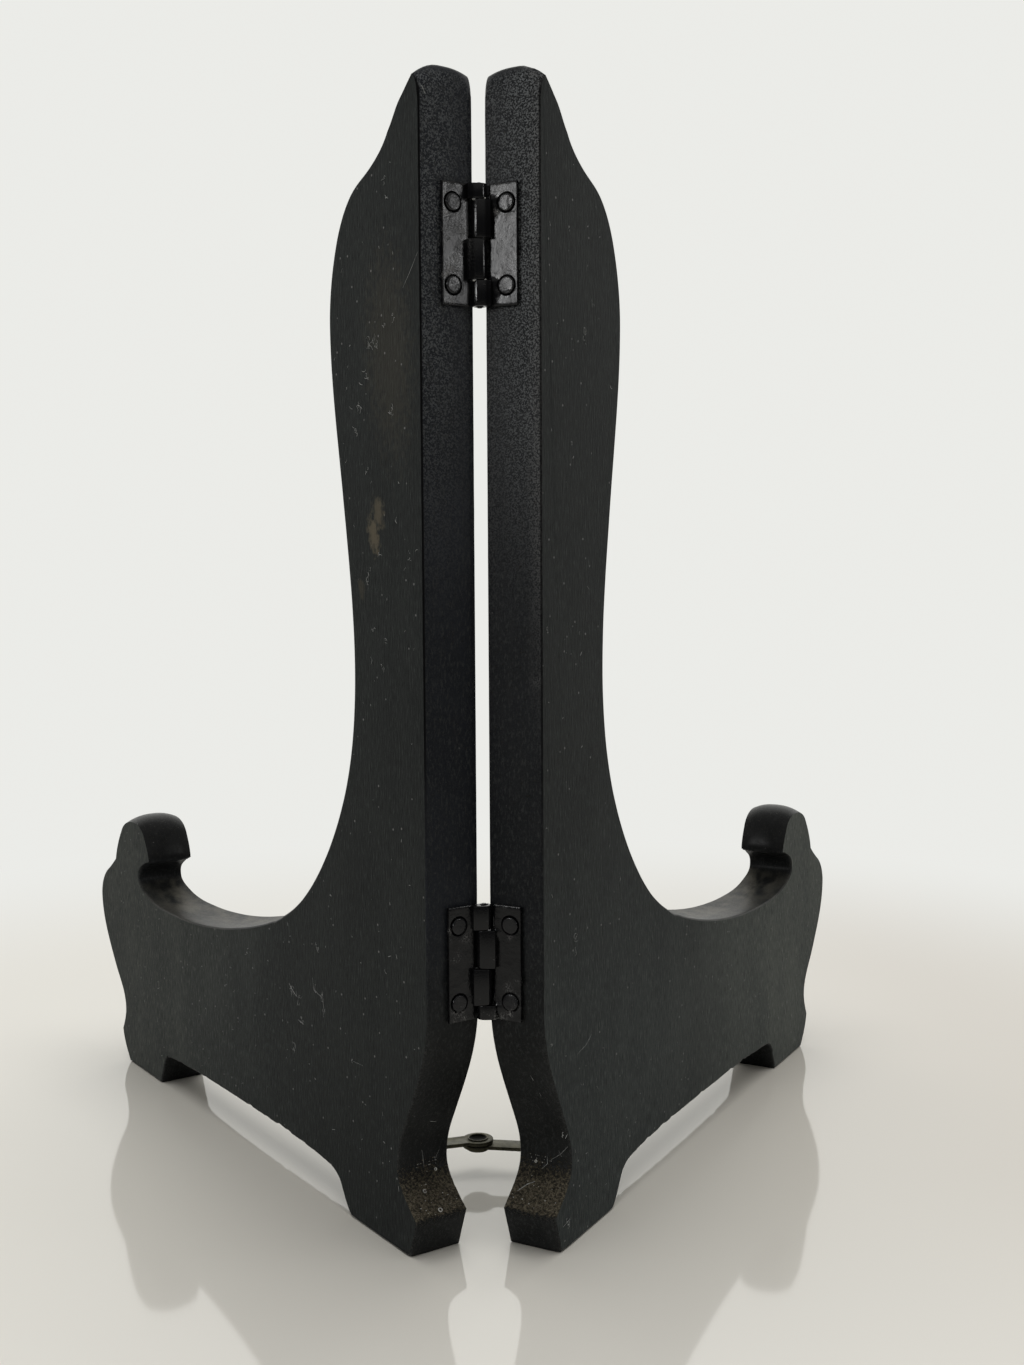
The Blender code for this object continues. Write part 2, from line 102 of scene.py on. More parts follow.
# ---------- material graphs
class Graph:
    """Wires the nodes of one material or world."""

    def __init__(self, tree):
        self.tree = tree

    def node(self, kind, inputs=(), **settings):
        made = self.tree.nodes.new("ShaderNode" + kind)
        for key, value in settings.items():
            setattr(made, key, value)
        for key, value in dict(inputs).items():
            self.feed(made.inputs[key], value)
        return made

    def feed(self, socket, value):
        if isinstance(value, bpy.types.NodeSocket):
            self.tree.links.new(value, socket)
        else:
            socket.default_value = value

    def math(self, operation, value, *others):
        """The operation on a value and each of the others in turn."""
        for other in others:
            value = self.node("Math", {0: value, 1: other}, operation=operation).outputs[0]
        return value

    def product(self, *values):
        return self.math("MULTIPLY", *values)

    def vector(self, operation, *inputs):
        return self.node("VectorMath", enumerate(inputs), operation=operation).outputs[0]

    def length(self, vector):
        return self.node("VectorMath", {0: vector}, operation="LENGTH").outputs["Value"]

    def split(self, vector):
        return self.node("SeparateXYZ", {0: vector}).outputs

    def smooth(self, value, low, high, start=0.0, end=1.0):
        inputs = {"Value": value, "From Min": low, "From Max": high, "To Min": start, "To Max": end}
        return self.node("MapRange", inputs, interpolation_type="SMOOTHSTEP").outputs["Result"]

    def mix(self, share, first, second):
        return self.node("Mix", {0: share, 6: first, 7: second}, data_type="RGBA").outputs[2]

    def coats(self, colour, *layers):
        """The colour under each (share, colour) layer in turn."""
        for share, layer in layers:
            colour = self.mix(share, colour, layer)
        return colour

    def stretched(self, vector, stretch):
        return self.node("Mapping", {"Vector": vector, "Scale": stretch}).outputs[0]

    def noise(self, vector, scale, detail=2.0, roughness=0.5):
        inputs = {"Vector": vector, "Scale": scale, "Detail": detail, "Roughness": roughness}
        return self.node("TexNoise", inputs).outputs[0]

    def specks(self, vector, scale, radius, share):
        """1 inside small round specks, one to a cell in that share of the cells."""
        cells = self.node("TexVoronoi", {"Vector": vector, "Scale": scale}).outputs
        near = self.smooth(cells["Distance"], radius, radius * 0.5)
        chance = self.node("SeparateColor", {0: cells["Color"]}).outputs[0]
        return self.product(near, self.math("LESS_THAN", chance, share))


class Paint(Graph):
    """The nodes of one new material, round its Principled shader."""

    def __init__(self, name):
        self.material = bpy.data.materials.new(name)
        self.material.use_nodes = True
        super().__init__(self.material.node_tree)
        self.shader = self.tree.nodes["Principled BSDF"]

    def attribute(self, name, output="Fac"):
        return self.node("Attribute", attribute_name=name).outputs[output]

    def board_place(self, shift):
        """The board's own (w, u, z) in millimetres, shifted so that no two materials match."""
        return self.vector("ADD", self.attribute("board", "Vector"), shift)

    def object_place(self):
        """The place in the piece's own frame, in millimetres."""
        return self.stretched(self.node("TexCoord").outputs["Object"], (1 / MM,) * 3)

    def finish(self, inputs, height=None, strength=0.8, depth=0.22):
        """Sets the shader's inputs, with a bump of that depth in millimetres, and gives the material."""
        if height is not None:
            bump = self.node("Bump", {"Strength": strength, "Distance": MM * depth, "Height": height})
            inputs = {**inputs, "Normal": bump.outputs[0]}
        for key, value in inputs.items():
            self.feed(self.shader.inputs[key], value)
        return self.material


def grey(value, warm=0.0):
    return (value * (1 + warm), value, value * (1 - warm), 1.0)


# ---------- paint, enamel and brass
# the paint attributes of a board's edge, each from 0 to 1
LEVELS = ("dust", "gloss", "line", "pebble_and_sheen", "rim", "smear_and_sheen")
PAINT_SPECULAR = 0.14
FACE_DARK = (0.0072, 0.0092, 0.0092, 1)
FACE_LIGHT = (0.0148, 0.0176, 0.0168, 1)
FACE_PALE = (0.0400, 0.0445, 0.0420, 1)
FACE_DEEP = (0.0026, 0.0035, 0.0035, 1)
RUBBED_WOOD = (0.105, 0.088, 0.058, 1)
WHITE = (1, 1, 1, 1)
# painted sheen: how much lighter an outer face is painted toward its hook, and an inner face
ARM_SHEEN_LIFT = {-1: 1.9, 1: 3.5}
INNER_ARM_SHEEN_LIFT = 0.8
ARM_TINT = (1.10, 1.02, 0.95, 1)
# painted light: how much lighter the right board's outer face is painted toward its foot
LOW_LIGHT_LIFT = 1.3
EDGE_PAINT = {
    -1: ((0.0078, 0.0092, 0.0124, 1), (0.0122, 0.0139, 0.0180, 1)),
    1: ((0.0044, 0.0052, 0.0066, 1), (0.0074, 0.0083, 0.0100, 1)),
}
LOW_EDGE_PAINT = ((0.0070, 0.0077, 0.0077, 1), (0.0128, 0.0137, 0.0135, 1))
CAP_BLACK = (0.0078, 0.0080, 0.0080, 1)
# pale pebbles on the spine: real speckled paint, lightened further as painted sheen toward the top
PEBBLE_AND_SHEEN_GREY = (0.142, 0.149, 0.153, 1)
NAP_GREY = (0.036, 0.038, 0.037, 1)
# grey on the seat: dust smears, and painted sheen growing toward the inner edge
SMEAR_AND_SHEEN_GREY = (0.092, 0.086, 0.070, 1)
DUST_BROWNS = ((0.030, 0.0255, 0.0175, 1), (0.140, 0.121, 0.086, 1))
# painted shade: a dark line along the spine's outer corner
CORNER_SHADE_BLACK = (0.0008, 0.0008, 0.0012, 1)


def face_paint(name, seed, arm_sheen_lift, low_light_lift=0.0, patches=()):
    """Matt charcoal paint on a flat face: upright grain, an arm lightened with painted sheen, specks and
    rubbed patches.
    """
    paint = Paint(name)
    place = paint.board_place((37.0, seed * 91.0, 53.0))
    grain = paint.noise(paint.stretched(place, (1.0, 1.7, 0.20)), 1.0, 4.0, 0.68)
    pores = paint.noise(paint.stretched(place, (1.0, 2.6, 0.36)), 1.0, 3.0, 0.7)
    cloud = paint.noise(paint.stretched(place, (1.0, 1.0, 0.5)), 0.05, 4.0, 0.6)
    tone = paint.math("ADD", paint.product(grain, 0.6), paint.product(cloud, 0.4))
    colour = paint.coats(
        FACE_DARK,
        (paint.smooth(tone, 0.42, 0.58), FACE_LIGHT),
        (paint.smooth(pores, 0.54, 0.68, 0.0, 0.7), FACE_PALE),
        (paint.smooth(pores, 0.46, 0.36, 0.0, 0.9), FACE_DEEP),
    )
    own = paint.attribute("board", "Vector")
    for (u, z), (wide, high), lean, strength in patches:
        offset = paint.vector("ADD", own, (0.0, -u, -z))
        turn = paint.node("VectorRotate", {"Vector": offset, "Angle": lean}, rotation_type="X_AXIS")
        reach = paint.length(paint.stretched(turn.outputs[0], (0.0, 1 / wide, 1 / high)))
        torn = paint.smooth(paint.noise(place, 0.6, 4.0, 0.6), 0.3, 0.7, -0.3, 0.3)
        rubbed = paint.smooth(paint.math("ADD", reach, torn), 1.1, 0.35, 0.0, strength)
        colour = paint.mix(rubbed, colour, RUBBED_WOOD)
    spot = paint.split(own)
    # painted sheen: the face is painted lighter toward the arm (and warmer there); on the right board,
    # painted light also lightens it toward the foot
    lift = paint.smooth(spot["Y"], 45.0, 150.0, 1.0, 1.0 + arm_sheen_lift)
    if low_light_lift:
        lift = paint.math("MAXIMUM", lift, paint.smooth(spot["Z"], 120.0, 35.0, 1.0, 1.0 + low_light_lift))
    colour = paint.node("VectorMath", {0: colour, "Scale": lift}, operation="SCALE").outputs[0]
    warmth = paint.mix(paint.smooth(spot["Y"], 45.0, 150.0), WHITE, ARM_TINT)
    colour = paint.vector("MULTIPLY", colour, warmth)
    specks = paint.product(paint.specks(place, 0.34, 0.11, 0.20), 0.65)
    inputs = {
        "Base Color": paint.mix(specks, colour, grey(0.24, 0.02)),
        "Roughness": paint.smooth(grain, 0.3, 0.7, 0.50, 0.60),
        "Specular IOR Level": PAINT_SPECULAR,
    }
    height = paint.math("ADD", paint.product(grain, 0.5), paint.product(pores, 0.5))
    return paint.finish(inputs, height, strength=0.6)


def edge_paint(name, side):
    """Black paint on the sawn edges: pebbly on the spine, smooth on the cap, dusty on the heel and seat;
    painted sheen on the spine's pebbles and the seat, a painted highlight on the spine's rim and a painted
    shade line at its outer corner.
    """
    paint = Paint(name)
    place = paint.board_place((74.0, side * 91.0, 106.0))
    level = {key: paint.attribute(key) for key in LEVELS}
    pebbles = paint.noise(place, 2.7, 3.0, 0.66)
    streaks = paint.noise(paint.stretched(place, (1.0, 0.6, 0.12)), 0.6, 3.0, 0.6)
    nap = paint.noise(paint.stretched(place, (1.0, 1.0, 0.35)), 1.9, 4.0, 0.75)
    drift = paint.noise(paint.stretched(place, (1.0, 0.45, 0.6)), 0.28, 4.0, 0.55)
    clumps = paint.noise(place, 1.8, 6.0, 0.80)
    cloud = paint.smooth(paint.noise(place, 0.05, 3.0, 0.5), 0.35, 0.65)
    height_up = paint.split(paint.attribute("board", "Vector"))["Z"]
    napped = paint.smooth(nap, 0.50, 0.64, 0.0, 0.62)
    dust = paint.math("ADD", level["dust"], paint.smooth(clumps, 0.3, 0.7, -0.55, 0.45))
    dust = paint.smooth(dust, 0.22, 0.95)
    colour = paint.coats(
        paint.mix(cloud, *EDGE_PAINT[side]),
        (paint.smooth(height_up, 80.0, 50.0), paint.mix(cloud, *LOW_EDGE_PAINT)),
        (level["gloss"], CAP_BLACK),
        # pebbles of the spine, partly painted sheen
        (paint.product(paint.smooth(pebbles, 0.50, 0.55), level["pebble_and_sheen"]), PEBBLE_AND_SHEEN_GREY),
        (paint.product(paint.smooth(streaks, 0.5, 0.75), 0.3), grey(0.018)),
        (paint.product(napped, paint.smooth(level["gloss"], 0.0, 1.0, 1.0, 0.25)), NAP_GREY),
        # pale rim along the corners: wear and chipped edges, and on the right spine's upper corner also a
        # painted highlight
        (paint.product(paint.smooth(pebbles, 0.42, 0.56), level["rim"]), grey(0.12, 0.02)),
        # seat smears: dust, and painted sheen toward the inner edge
        (paint.product(paint.smooth(drift, 0.30, 0.69), level["smear_and_sheen"]), SMEAR_AND_SHEEN_GREY),
        (dust, paint.mix(paint.smooth(clumps, 0.42, 0.62), *DUST_BROWNS)),
        (paint.product(paint.specks(place, 0.32, 0.07, 0.35), 0.5), grey(0.14, 0.03)),
        # painted shade line along the spine's outer corner
        (level["line"], CORNER_SHADE_BLACK),
    )
    rough = paint.math("ADD", paint.smooth(pebbles, 0.3, 0.7, 0.34, 0.46), paint.product(dust, 0.4))
    rough = paint.math("SUBTRACT", rough, paint.product(level["gloss"], 0.06))
    rough = paint.math("ADD", rough, paint.product(level["line"], 0.5))
    relief = paint.math("ADD", paint.product(pebbles, level["pebble_and_sheen"], 0.8), paint.product(clumps, dust, 2.4))
    relief = paint.math("ADD", relief, paint.product(streaks, 0.25))
    inputs = {"Base Color": colour, "Roughness": rough, "Specular IOR Level": PAINT_SPECULAR}
    return paint.finish(inputs, relief)


def enamel(name, shine, tint=(0.0035, 0.0035, 0.004, 1), dirt=0.4, shaded_roots=False):
    """Glossy black enamel over pressed steel, smudged, and dusty in the corners."""
    paint = Paint(name)
    place = paint.object_place()
    cloud = paint.noise(place, 0.32, 4.0, 0.6)
    fine = paint.noise(place, 2.6, 3.0, 0.6)
    knuckle = paint.attribute("knuckle")
    smudged = paint.product(paint.smooth(cloud, 0.5, 0.75, 0.0, 0.5), paint.math("SUBTRACT", 1.0, knuckle))
    scattered = paint.product(paint.smooth(cloud, 0.56, 0.7), paint.smooth(fine, 0.56, 0.7), dirt)
    lodged = paint.product(paint.attribute("residue"), paint.smooth(fine, 0.44, 0.60))
    residue = paint.math("MAXIMUM", scattered, lodged)
    rough = paint.math("SUBTRACT", paint.smooth(cloud, 0.35, 0.7, 0.10, 0.26), paint.product(knuckle, 0.08))
    rough = paint.math("MAXIMUM", rough, 0.06)
    if shaded_roots:
        shine = paint.smooth(paint.attribute("shade"), 0.0, 1.0, shine, shine * 0.22)
    dents = paint.product(cloud, paint.smooth(knuckle, 0.0, 1.0, 1.0, 0.15))
    inputs = {
        "Base Color": paint.coats(tint, (smudged, grey(0.018)), (residue, grey(0.22, 0.03))),
        "Roughness": paint.math("ADD", rough, paint.product(residue, 0.5)),
        "Specular IOR Level": shine,
    }
    return paint.finish(inputs, paint.math("ADD", dents, paint.product(fine, 0.12)), depth=0.24)


def old_brass(name, dark, rubbed):
    """Brass gone olive brown, brighter where it has rubbed."""
    paint = Paint(name)
    place = paint.object_place()
    cloud = paint.noise(place, 0.45, 4.0, 0.6)
    fine = paint.noise(place, 3.0, 3.0, 0.65)
    tone = paint.smooth(paint.math("ADD", paint.product(cloud, 0.6), paint.product(fine, 0.4)), 0.35, 0.65)
    roughness = paint.smooth(fine, 0.3, 0.7, 0.38, 0.6)
    inputs = {"Base Color": paint.mix(tone, dark, rubbed), "Roughness": roughness, "Metallic": 0.65}
    return paint.finish(inputs, fine, strength=0.5, depth=0.06)


def powder(name, colour):
    """Dull matter in two tones: grit, specks and lint."""
    paint = Paint(name)
    tone = paint.smooth(paint.noise(paint.object_place(), 1.2), 0.3, 0.7)
    darker = tuple(value * 0.45 for value in colour)
    return paint.finish({"Base Color": paint.mix(tone, (*darker, 1), (*colour, 1)), "Roughness": 0.9})


# ---------- mesh helpers
def mesh_of(builder, matrix=None):
    bmesh.ops.recalc_face_normals(builder, faces=builder.faces)
    if matrix:
        bmesh.ops.transform(builder, matrix=matrix, verts=builder.verts)
        if matrix.determinant() < 0:
            bmesh.ops.reverse_faces(builder, faces=builder.faces)
    mesh = bpy.data.meshes.new("piece")
    builder.to_mesh(mesh)
    builder.free()
    return mesh


def finish_piece(name, builder, matrix, materials, body, replaced=(), sharp=35.0):
    """A piece of the stand from a bmesh in millimetres; sharp is the least angle of a crease, in degrees."""
    mesh = mesh_of(builder, matrix)
    for material in materials:
        mesh.materials.append(material)
    piece = new_object(name, mesh)
    if sharp:
        mesh.shade_smooth()
        mesh.set_sharp_from_angle(angle=radians(sharp))
    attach(piece, body)
    if replaced:
        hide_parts(*replaced)


def bridge(builder, rings, material_index=0, smooth=False):
    """Quads between each ring of vertices and the next."""
    for ring, following in zip(rings, rings[1:]):
        for i in range(len(ring)):
            quad = builder.faces.new((ring[i - 1], ring[i], following[i], following[i - 1]))
            quad.material_index = material_index
            quad.smooth = smooth


def combined(builder, others):
    """A bmesh of the shape after each ("UNION" or "DIFFERENCE", shape) in turn."""
    base = new_object("base", mesh_of(builder))
    helpers = [base]
    for operation, other in others:
        helper = new_object("helper", mesh_of(other))
        helpers.append(helper)
        modifier = base.modifiers.new(operation, "BOOLEAN")
        modifier.operation = operation
        modifier.object = helper
    bpy.context.view_layer.update()
    graph = bpy.context.evaluated_depsgraph_get()
    mesh = bpy.data.meshes.new_from_object(base.evaluated_get(graph))
    whole = bmesh.new()
    whole.from_mesh(mesh)
    bpy.data.meshes.remove(mesh)
    for helper in helpers:
        old = helper.data
        bpy.data.objects.remove(helper)
        bpy.data.meshes.remove(old)
    return whole


def turned(profile, steps, matrix=None):
    """A solid turned about Z from (radius, height) points that start and end on the axis."""
    builder = bmesh.new()
    angles = [2 * pi * i / steps for i in range(steps)]
    rings = []
    for radius, height in profile:
        if radius == 0:
            rings.append([builder.verts.new((0, 0, height))])
        else:
            ring = [(radius * cos(a), radius * sin(a), height) for a in angles]
            rings.append([builder.verts.new(corner) for corner in ring])
    for ring, following in zip(rings, rings[1:]):
        for i in range(steps):
            corners = [ring[i % len(ring)], ring[(i + 1) % len(ring)]]
            corners += [following[(i + 1) % len(following)], following[i % len(following)]]
            corners = list(dict.fromkeys(corners))
            if len(corners) > 2:
                builder.faces.new(corners)
    bmesh.ops.recalc_face_normals(builder, faces=builder.faces)
    if matrix:
        bmesh.ops.transform(builder, matrix=matrix, verts=builder.verts)
    return builder


def rounded_plate(outline, low, high, width, segments=2):
    """A flat outline in X and Y, raised from low to high, with its edges rounded."""
    builder = bmesh.new()
    face = builder.faces.new([builder.verts.new((x, y, low)) for x, y in outline])
    grown = bmesh.ops.extrude_face_region(builder, geom=[face])["geom"]
    risen = [v for v in grown if isinstance(v, bmesh.types.BMVert)]
    bmesh.ops.translate(builder, verts=risen, vec=(0, 0, high - low))
    rims = [e for e in builder.edges if abs(e.verts[0].co.z - e.verts[1].co.z) < 1e-6]
    bmesh.ops.bevel(builder, geom=rims, offset=width, segments=segments, profile=0.5, affect="EDGES")
    return builder


def cut_face(builder, place, across):
    parts = builder.verts[:] + builder.edges[:] + builder.faces[:]
    bmesh.ops.bisect_plane(builder, geom=parts, plane_co=place, plane_no=across)


# ---------- boards
# (depth, width) of the eased edge at the inner face and at the outer one
CRISP = ((0.4, 0.4), (0.4, 0.4))
SANDED = ((1.0, 1.2), (0.4, 0.4))
SEAT_BACK = ((-1.5, 8.0), (0.4, 0.4))
SEAT = ((-0.7, 8.0), (0.4, 0.4))
CREST = ((1.4, 6.4), (3.9, 6.5))
CREST_FRONT = ((1.4, 6.4), (2.1, 5.6))
LIP = ((0.7, 3.2), (0.6, 5.0))
CAP = ((1.1, 4.3), (1.9, 6.3))
CAP_FRONT = ((1.1, 0.9), (0.8, 1.0))
# (u, z, heading in, heading out, eased edges) of each knot; headings in degrees from forward toward up
OUTLINE = (
    (0.0, 56.0, 90, 90, CRISP),
    (0.0, 247.5, 90, 90, CRISP),
    (2.8, 253.3, 0, 0, CREST),
    (8.8, 248.4, -50, -50, CREST_FRONT),
    (12.8, 241.6, -54, -54, CRISP),
    (20.8, 235.4, -27, -27, SANDED),
    (28.8, 231.4, -38, -38, SANDED),
    (35.8, 221.6, -68, -68, SANDED),
    (39.2, 204.5, -90, -90, SANDED),
    (34.2, 166.0, -99, -99, SANDED),
    (29.9, 128.0, -90, -90, SANDED),
    (36.4, 97.0, -64, -64, SANDED),
    (54.8, 72.9, -41, -41, SEAT_BACK),
    (85.0, 58.8, -15, -15, SEAT_BACK),
    (136.0, 52.0, 0, 0, SEAT),
    (155.5, 53.8, 17, 17, SEAT),
    (162.2, 58.4, 90, 90, SEAT),
    (153.2, 63.6, 162, 92, LIP),
    (155.4, 71.3, 64, 64, CAP),
    (165.1, 76.2, 0, 0, CAP),
    (177.0, 71.2, -56, -56, CAP),
    (181.2, 61.4, -80, -38, CAP_FRONT),
    (188.0, 56.6, -30, -30, SANDED),
    (193.4, 48.2, -90, -90, SANDED),
    (183.4, 28.0, -127, -127, CRISP),
    (175.6, 16.2, -92, -92, CRISP),
    (178.4, 9.0, -62, -100, CRISP),
    (172.8, 0.0, -136, 180, CRISP),
    (148.4, 0.0, 180, 102, CRISP),
    (145.2, 7.0, 110, 110, CRISP),
    (140.6, 9.2, 176, 176, CRISP),
    (94.0, 10.4, 180, 180, CRISP),
    (47.0, 9.2, 185, 185, CRISP),
    (39.8, 6.0, 236, 236, CRISP),
    (35.0, 0.0, 215, 180, CRISP),
    (8.4, 0.0, 180, 109, CRISP),
    (5.2, 9.0, 109, 44, CRISP),
    (13.2, 19.0, 90, 90, CRISP),
    (8.2, 32.4, 117, 117, CRISP),
)
CURVE_STEP = radians(2.4)
LONGEST_STEP = 1.7
EASE_SHARES = (0.0, 0.12, 0.26, 0.42, 0.6, 0.8, 1.0)
MIDDLE_SHARES = (0.25, 0.5, 0.75)
CREST_SHARING = 3.0
# how far along w each board's noise is taken from its own place, so that the two boards differ
NOISE_APART = 40
DOME_PASSES = 5
# (u, w, z, reach, depth) of each chip in the paint and wood
CHIPS = {
    -1: ((154.6, 8.6, 63.4, 0.7, 0.3), (157.0, 4.6, 62.8, 0.6, 0.3), (9.0, 12.8, 0.2, 1.1, 0.45)),
    1: (
        (1.6, 9.6, 252.6, 1.5, 0.35),
        (0.6, 11.2, 250.8, 1.8, 0.5),
        (0.2, 12.7, 248.9, 1.6, 0.45),
        (9.2, 12.8, 0.3, 1.3, 0.5),
        (0.0, 12.9, 127.5, 0.9, 0.3),
        (0.0, 12.9, 163.0, 0.6, 0.2),
        (154.4, 7.4, 63.4, 0.6, 0.25),
    ),
}


def along(angle):
    return Vector((cos(angle), sin(angle)))


def turn_between(first, second):
    return (second - first + pi) % (2 * pi) - pi


def cubic(start, start_heading, end, end_heading):
    """Shares and points of the CAD's own cubic between two knots, more closely spaced, without its end."""
    chord = end - start
    chord_heading = atan2(chord.y, chord.x)
    bend = abs(turn_between(start_heading, chord_heading)) + abs(turn_between(chord_heading, end_heading))
    reach = chord.length / 3 * (1 + 0.05 * bend**2)
    a, b = start + along(start_heading) * reach, end - along(end_heading) * reach
    steps = max(1, round(bend / CURVE_STEP), ceil(chord.length / LONGEST_STEP))
    for i in range(steps):
        t = i / steps
        s = 1 - t
        yield t, s**3 * start + 3 * s * s * t * a + 3 * s * t * t * b + t**3 * end


def board_outline():
    """(point, eased edges) round the board."""
    points = []
    for knot, following in zip(OUTLINE, OUTLINE[1:] + OUTLINE[:1]):
        ends = Vector(knot[:2]), radians(knot[3]), Vector(following[:2]), radians(following[2])
        for share, point in cubic(*ends):
            edge = [[a + (b - a) * share for a, b in zip(*sides)] for sides in zip(knot[4], following[4])]
            points.append((point, edge))
    return points


def inward_normals(points):
    normals = []
    for i, point in enumerate(points):
        before = (point - points[i - 1]).normalized()
        after = (points[(i + 1) % len(points)] - point).normalized()
        first, second = Vector((before.y, -before.x)), Vector((after.y, -after.x))
        middle = (first + second).normalized()
        normals.append(middle / max(middle.dot(first), 0.6))
    return normals


def stations(edge):
    """(w, inset) from the inner face to the outer one."""
    (inner_depth, inner_width), (outer_depth, outer_width) = edge
    inner = [(inner_width * s, inner_depth * (1 - s) ** 2) for s in EASE_SHARES]
    outer = [(THICKNESS - outer_width * s, outer_depth * (1 - s) ** 2) for s in reversed(EASE_SHARES)]
    low, high = inner[-1][0], outer[0][0]
    return inner + [(low + (high - low) * s, 0.0) for s in MIDDLE_SHARES] + outer


def inset_vectors(outline, normals, station):
    """Each point's move inward at one station, shared out along the tight turns of the crest."""
    moves = [normal * stations(edge)[station][1] for (_, edge), normal in zip(outline, normals)]
    shared = []
    for i, (point, _) in enumerate(outline):
        reach = CREST_SHARING * ramp(point.y, 240, 246) * ramp(point.x, 16, 10)
        total, weight = moves[i], 1.0
        if reach > 0:
            for way in (-1, 1):
                away, j = 0.0, i
                while away < 2.5 * reach:
                    step = (j + way) % len(outline)
                    away += (outline[step][0] - outline[j][0]).length
                    j = step
                    share = exp(-((away / reach) ** 2)) * (outline[j][0] - outline[j - 1][0]).length
                    total = total + moves[j] * share
                    weight += share
        shared.append(total / weight)
    return shared


def roughness_at(u, w, z):
    """How far the real edge lies inside the drawn one, from saw marks and thick paint."""
    place = Vector((u, w, z))
    inset = 0.03 * (1 + noise.noise(place * 0.2))
    corner = ramp(abs(w - THICKNESS / 2), THICKNESS / 2 - 0.9, THICKNESS / 2)
    if z < 11 and 40 < u < 147:
        torn = ramp(noise.noise(place * 1.1), 0.1, 0.6)
        inset += 0.16 * abs(noise.noise(place * 0.9)) + corner * 0.5 * torn
    if u < 158 and 61.8 < z < 65.0:
        inset += 0.24 * (1 + noise.noise(place * 1.2)) * ramp(z, 61.8, 63.0) * ramp(z, 65.0, 63.8)
    if u < 15:
        inset += 0.12 * (1 + noise.noise(place * 1.4)) * ramp(z, 9.3, 10.5) * ramp(z, 20, 14)
    return inset


def levels_at(side, u, w, z, up_facing):
    """The paint attributes of one point on the board's edge."""
    right = side > 0
    spine = ramp(u, 1.2, 0.2) * ramp(z, 46, 60)
    cap = ramp(z, 63.0, 65.5) * ramp(u, 150, 153) * ramp(u, 186, 180)
    corner = ramp(abs(w - THICKNESS / 2), THICKNESS / 2 - 0.75, THICKNESS / 2 - 0.1)
    outer = 1.0 if w > THICKNESS / 2 else 0.4
    # painted shade: a dark line along the spine's outer corner, from z 78 up
    corner_shade = ramp(w, THICKNESS - 0.40, THICKNESS - 0.22) * ramp(u, 1.4, 0.5) * ramp(z, 78, 120)
    # the pebbles strengthen toward the top of the spine, where they also carry painted sheen
    grain = 0.03 + (0.90 if right else 0.55) * ramp(z, 132, 218)
    # wear along the corners; on the right spine, rising toward the top, also a painted highlight
    rim_wear_and_highlight = spine * (0.8 * ramp(z, 100, 175) if right else 0.0) + 0.15 * (1 - spine)
    # upward-facing seat, lightened by dust smears and by painted sheen toward the inner face
    seat = ramp(up_facing, 0.35, 0.9) * ramp(u, 50, 108) * ramp(u, 170, 160) * (1 - cap)
    return {
        "dust": ramp(z, 21.5, 12.0) * ramp(z, 8.7, 9.4) * ramp(u, 16, 14.5),
        "gloss": cap,
        "line": corner_shade * (0.8 if right else 1.0),
        "pebble_and_sheen": spine * grain * (0.5 + 0.55 * ramp(w, 1.5, 9.0)),
        "rim": corner * outer * rim_wear_and_highlight * (1 - cap),
        "smear_and_sheen": seat * (0.30 + 0.55 * ramp(w, 11.5, 6.0)),
    }


def chipped(side, u, w, z, normal, levels):
    """The point and its levels after the chips in the paint and wood."""
    for chip_u, chip_w, chip_z, reach, depth in CHIPS[side]:
        away = dist((u, w, z), (chip_u, chip_w, chip_z)) / reach
        if away < 1:
            bite = depth * (1 - away) * (0.7 + 0.6 * noise.noise(Vector((u, w, z)) * 2.0))
            u, z = Vector((u, z)) + normal.normalized() * bite
            w += bite * 0.6 if w < THICKNESS / 2 else -bite * 0.6
            levels["rim"] = max(levels["rim"], 0.8 * (1 - away))
    return u, w, z


def make_board(side, materials):
    """One board; its materials are for the outer face, the edges and the inner face."""
    outline = board_outline()
    normals = inward_normals([point for point, _ in outline])
    builder = bmesh.new()
    place_layer = builder.verts.layers.float_vector.new("board")
    level_layers = {key: builder.verts.layers.float.new(key) for key in LEVELS}
    rings = []
    for station in range(len(stations(CRISP))):
        ring = []
        moves = inset_vectors(outline, normals, station)
        for (point, edge), normal, move in zip(outline, normals, moves):
            w = stations(edge)[station][0]
            levels = levels_at(side, point.x, w, point.y, -normal.y)
            u, z = point + move + normal * roughness_at(point.x, w + side * NOISE_APART, point.y)
            u, w, z = chipped(side, u, w, max(z, 0.0), normal, levels)
            vert = builder.verts.new(closed(side, u, w, z))
            vert[place_layer] = (w, u, z)
            for key, value in levels.items():
                vert[level_layers[key]] = value
            ring.append(vert)
        rings.append(ring)
    bridge(builder, rings, material_index=1, smooth=True)
    dome = [v for ring in rings[1:-1] for v in ring if v[level_layers["gloss"]] > 0.3]
    for _ in range(DOME_PASSES):
        every_way = {f"use_axis_{axis}": True for axis in "xyz"}
        bmesh.ops.smooth_vert(builder, verts=dome, factor=0.5, **every_way)
    for ring, index in ((rings[0], 2), (rings[-1], 0)):
        flat = builder.faces.new(ring)
        flat.material_index = index
        for edge in flat.edges:
            edge.smooth = False
    hand = SIDES[side]
    finish_piece(
        f"{hand}_board_wood",
        builder,
        board_frame(side),
        materials,
        f"{hand}_board",
        [f"{hand}_panel"],
        sharp=None,
    )


# ---------- heel grit and splinters
# (w, z, radius) of the white rings on each heel
RINGS = {-1: ((8.0, 13.4, 0.36), (6.4, 10.0, 0.42), (3.6, 16.6, 0.26)), 1: ((4.2, 17.6, 0.24),)}
RING_THICKNESS = 0.13
RING_STEPS = 12


def finish_crumbs(name, builder, side, materials):
    """A piece of loose matter on a board."""
    hand = SIDES[side]
    finish_piece(f"{hand}_{name}", builder, board_frame(side), materials, f"{hand}_board")


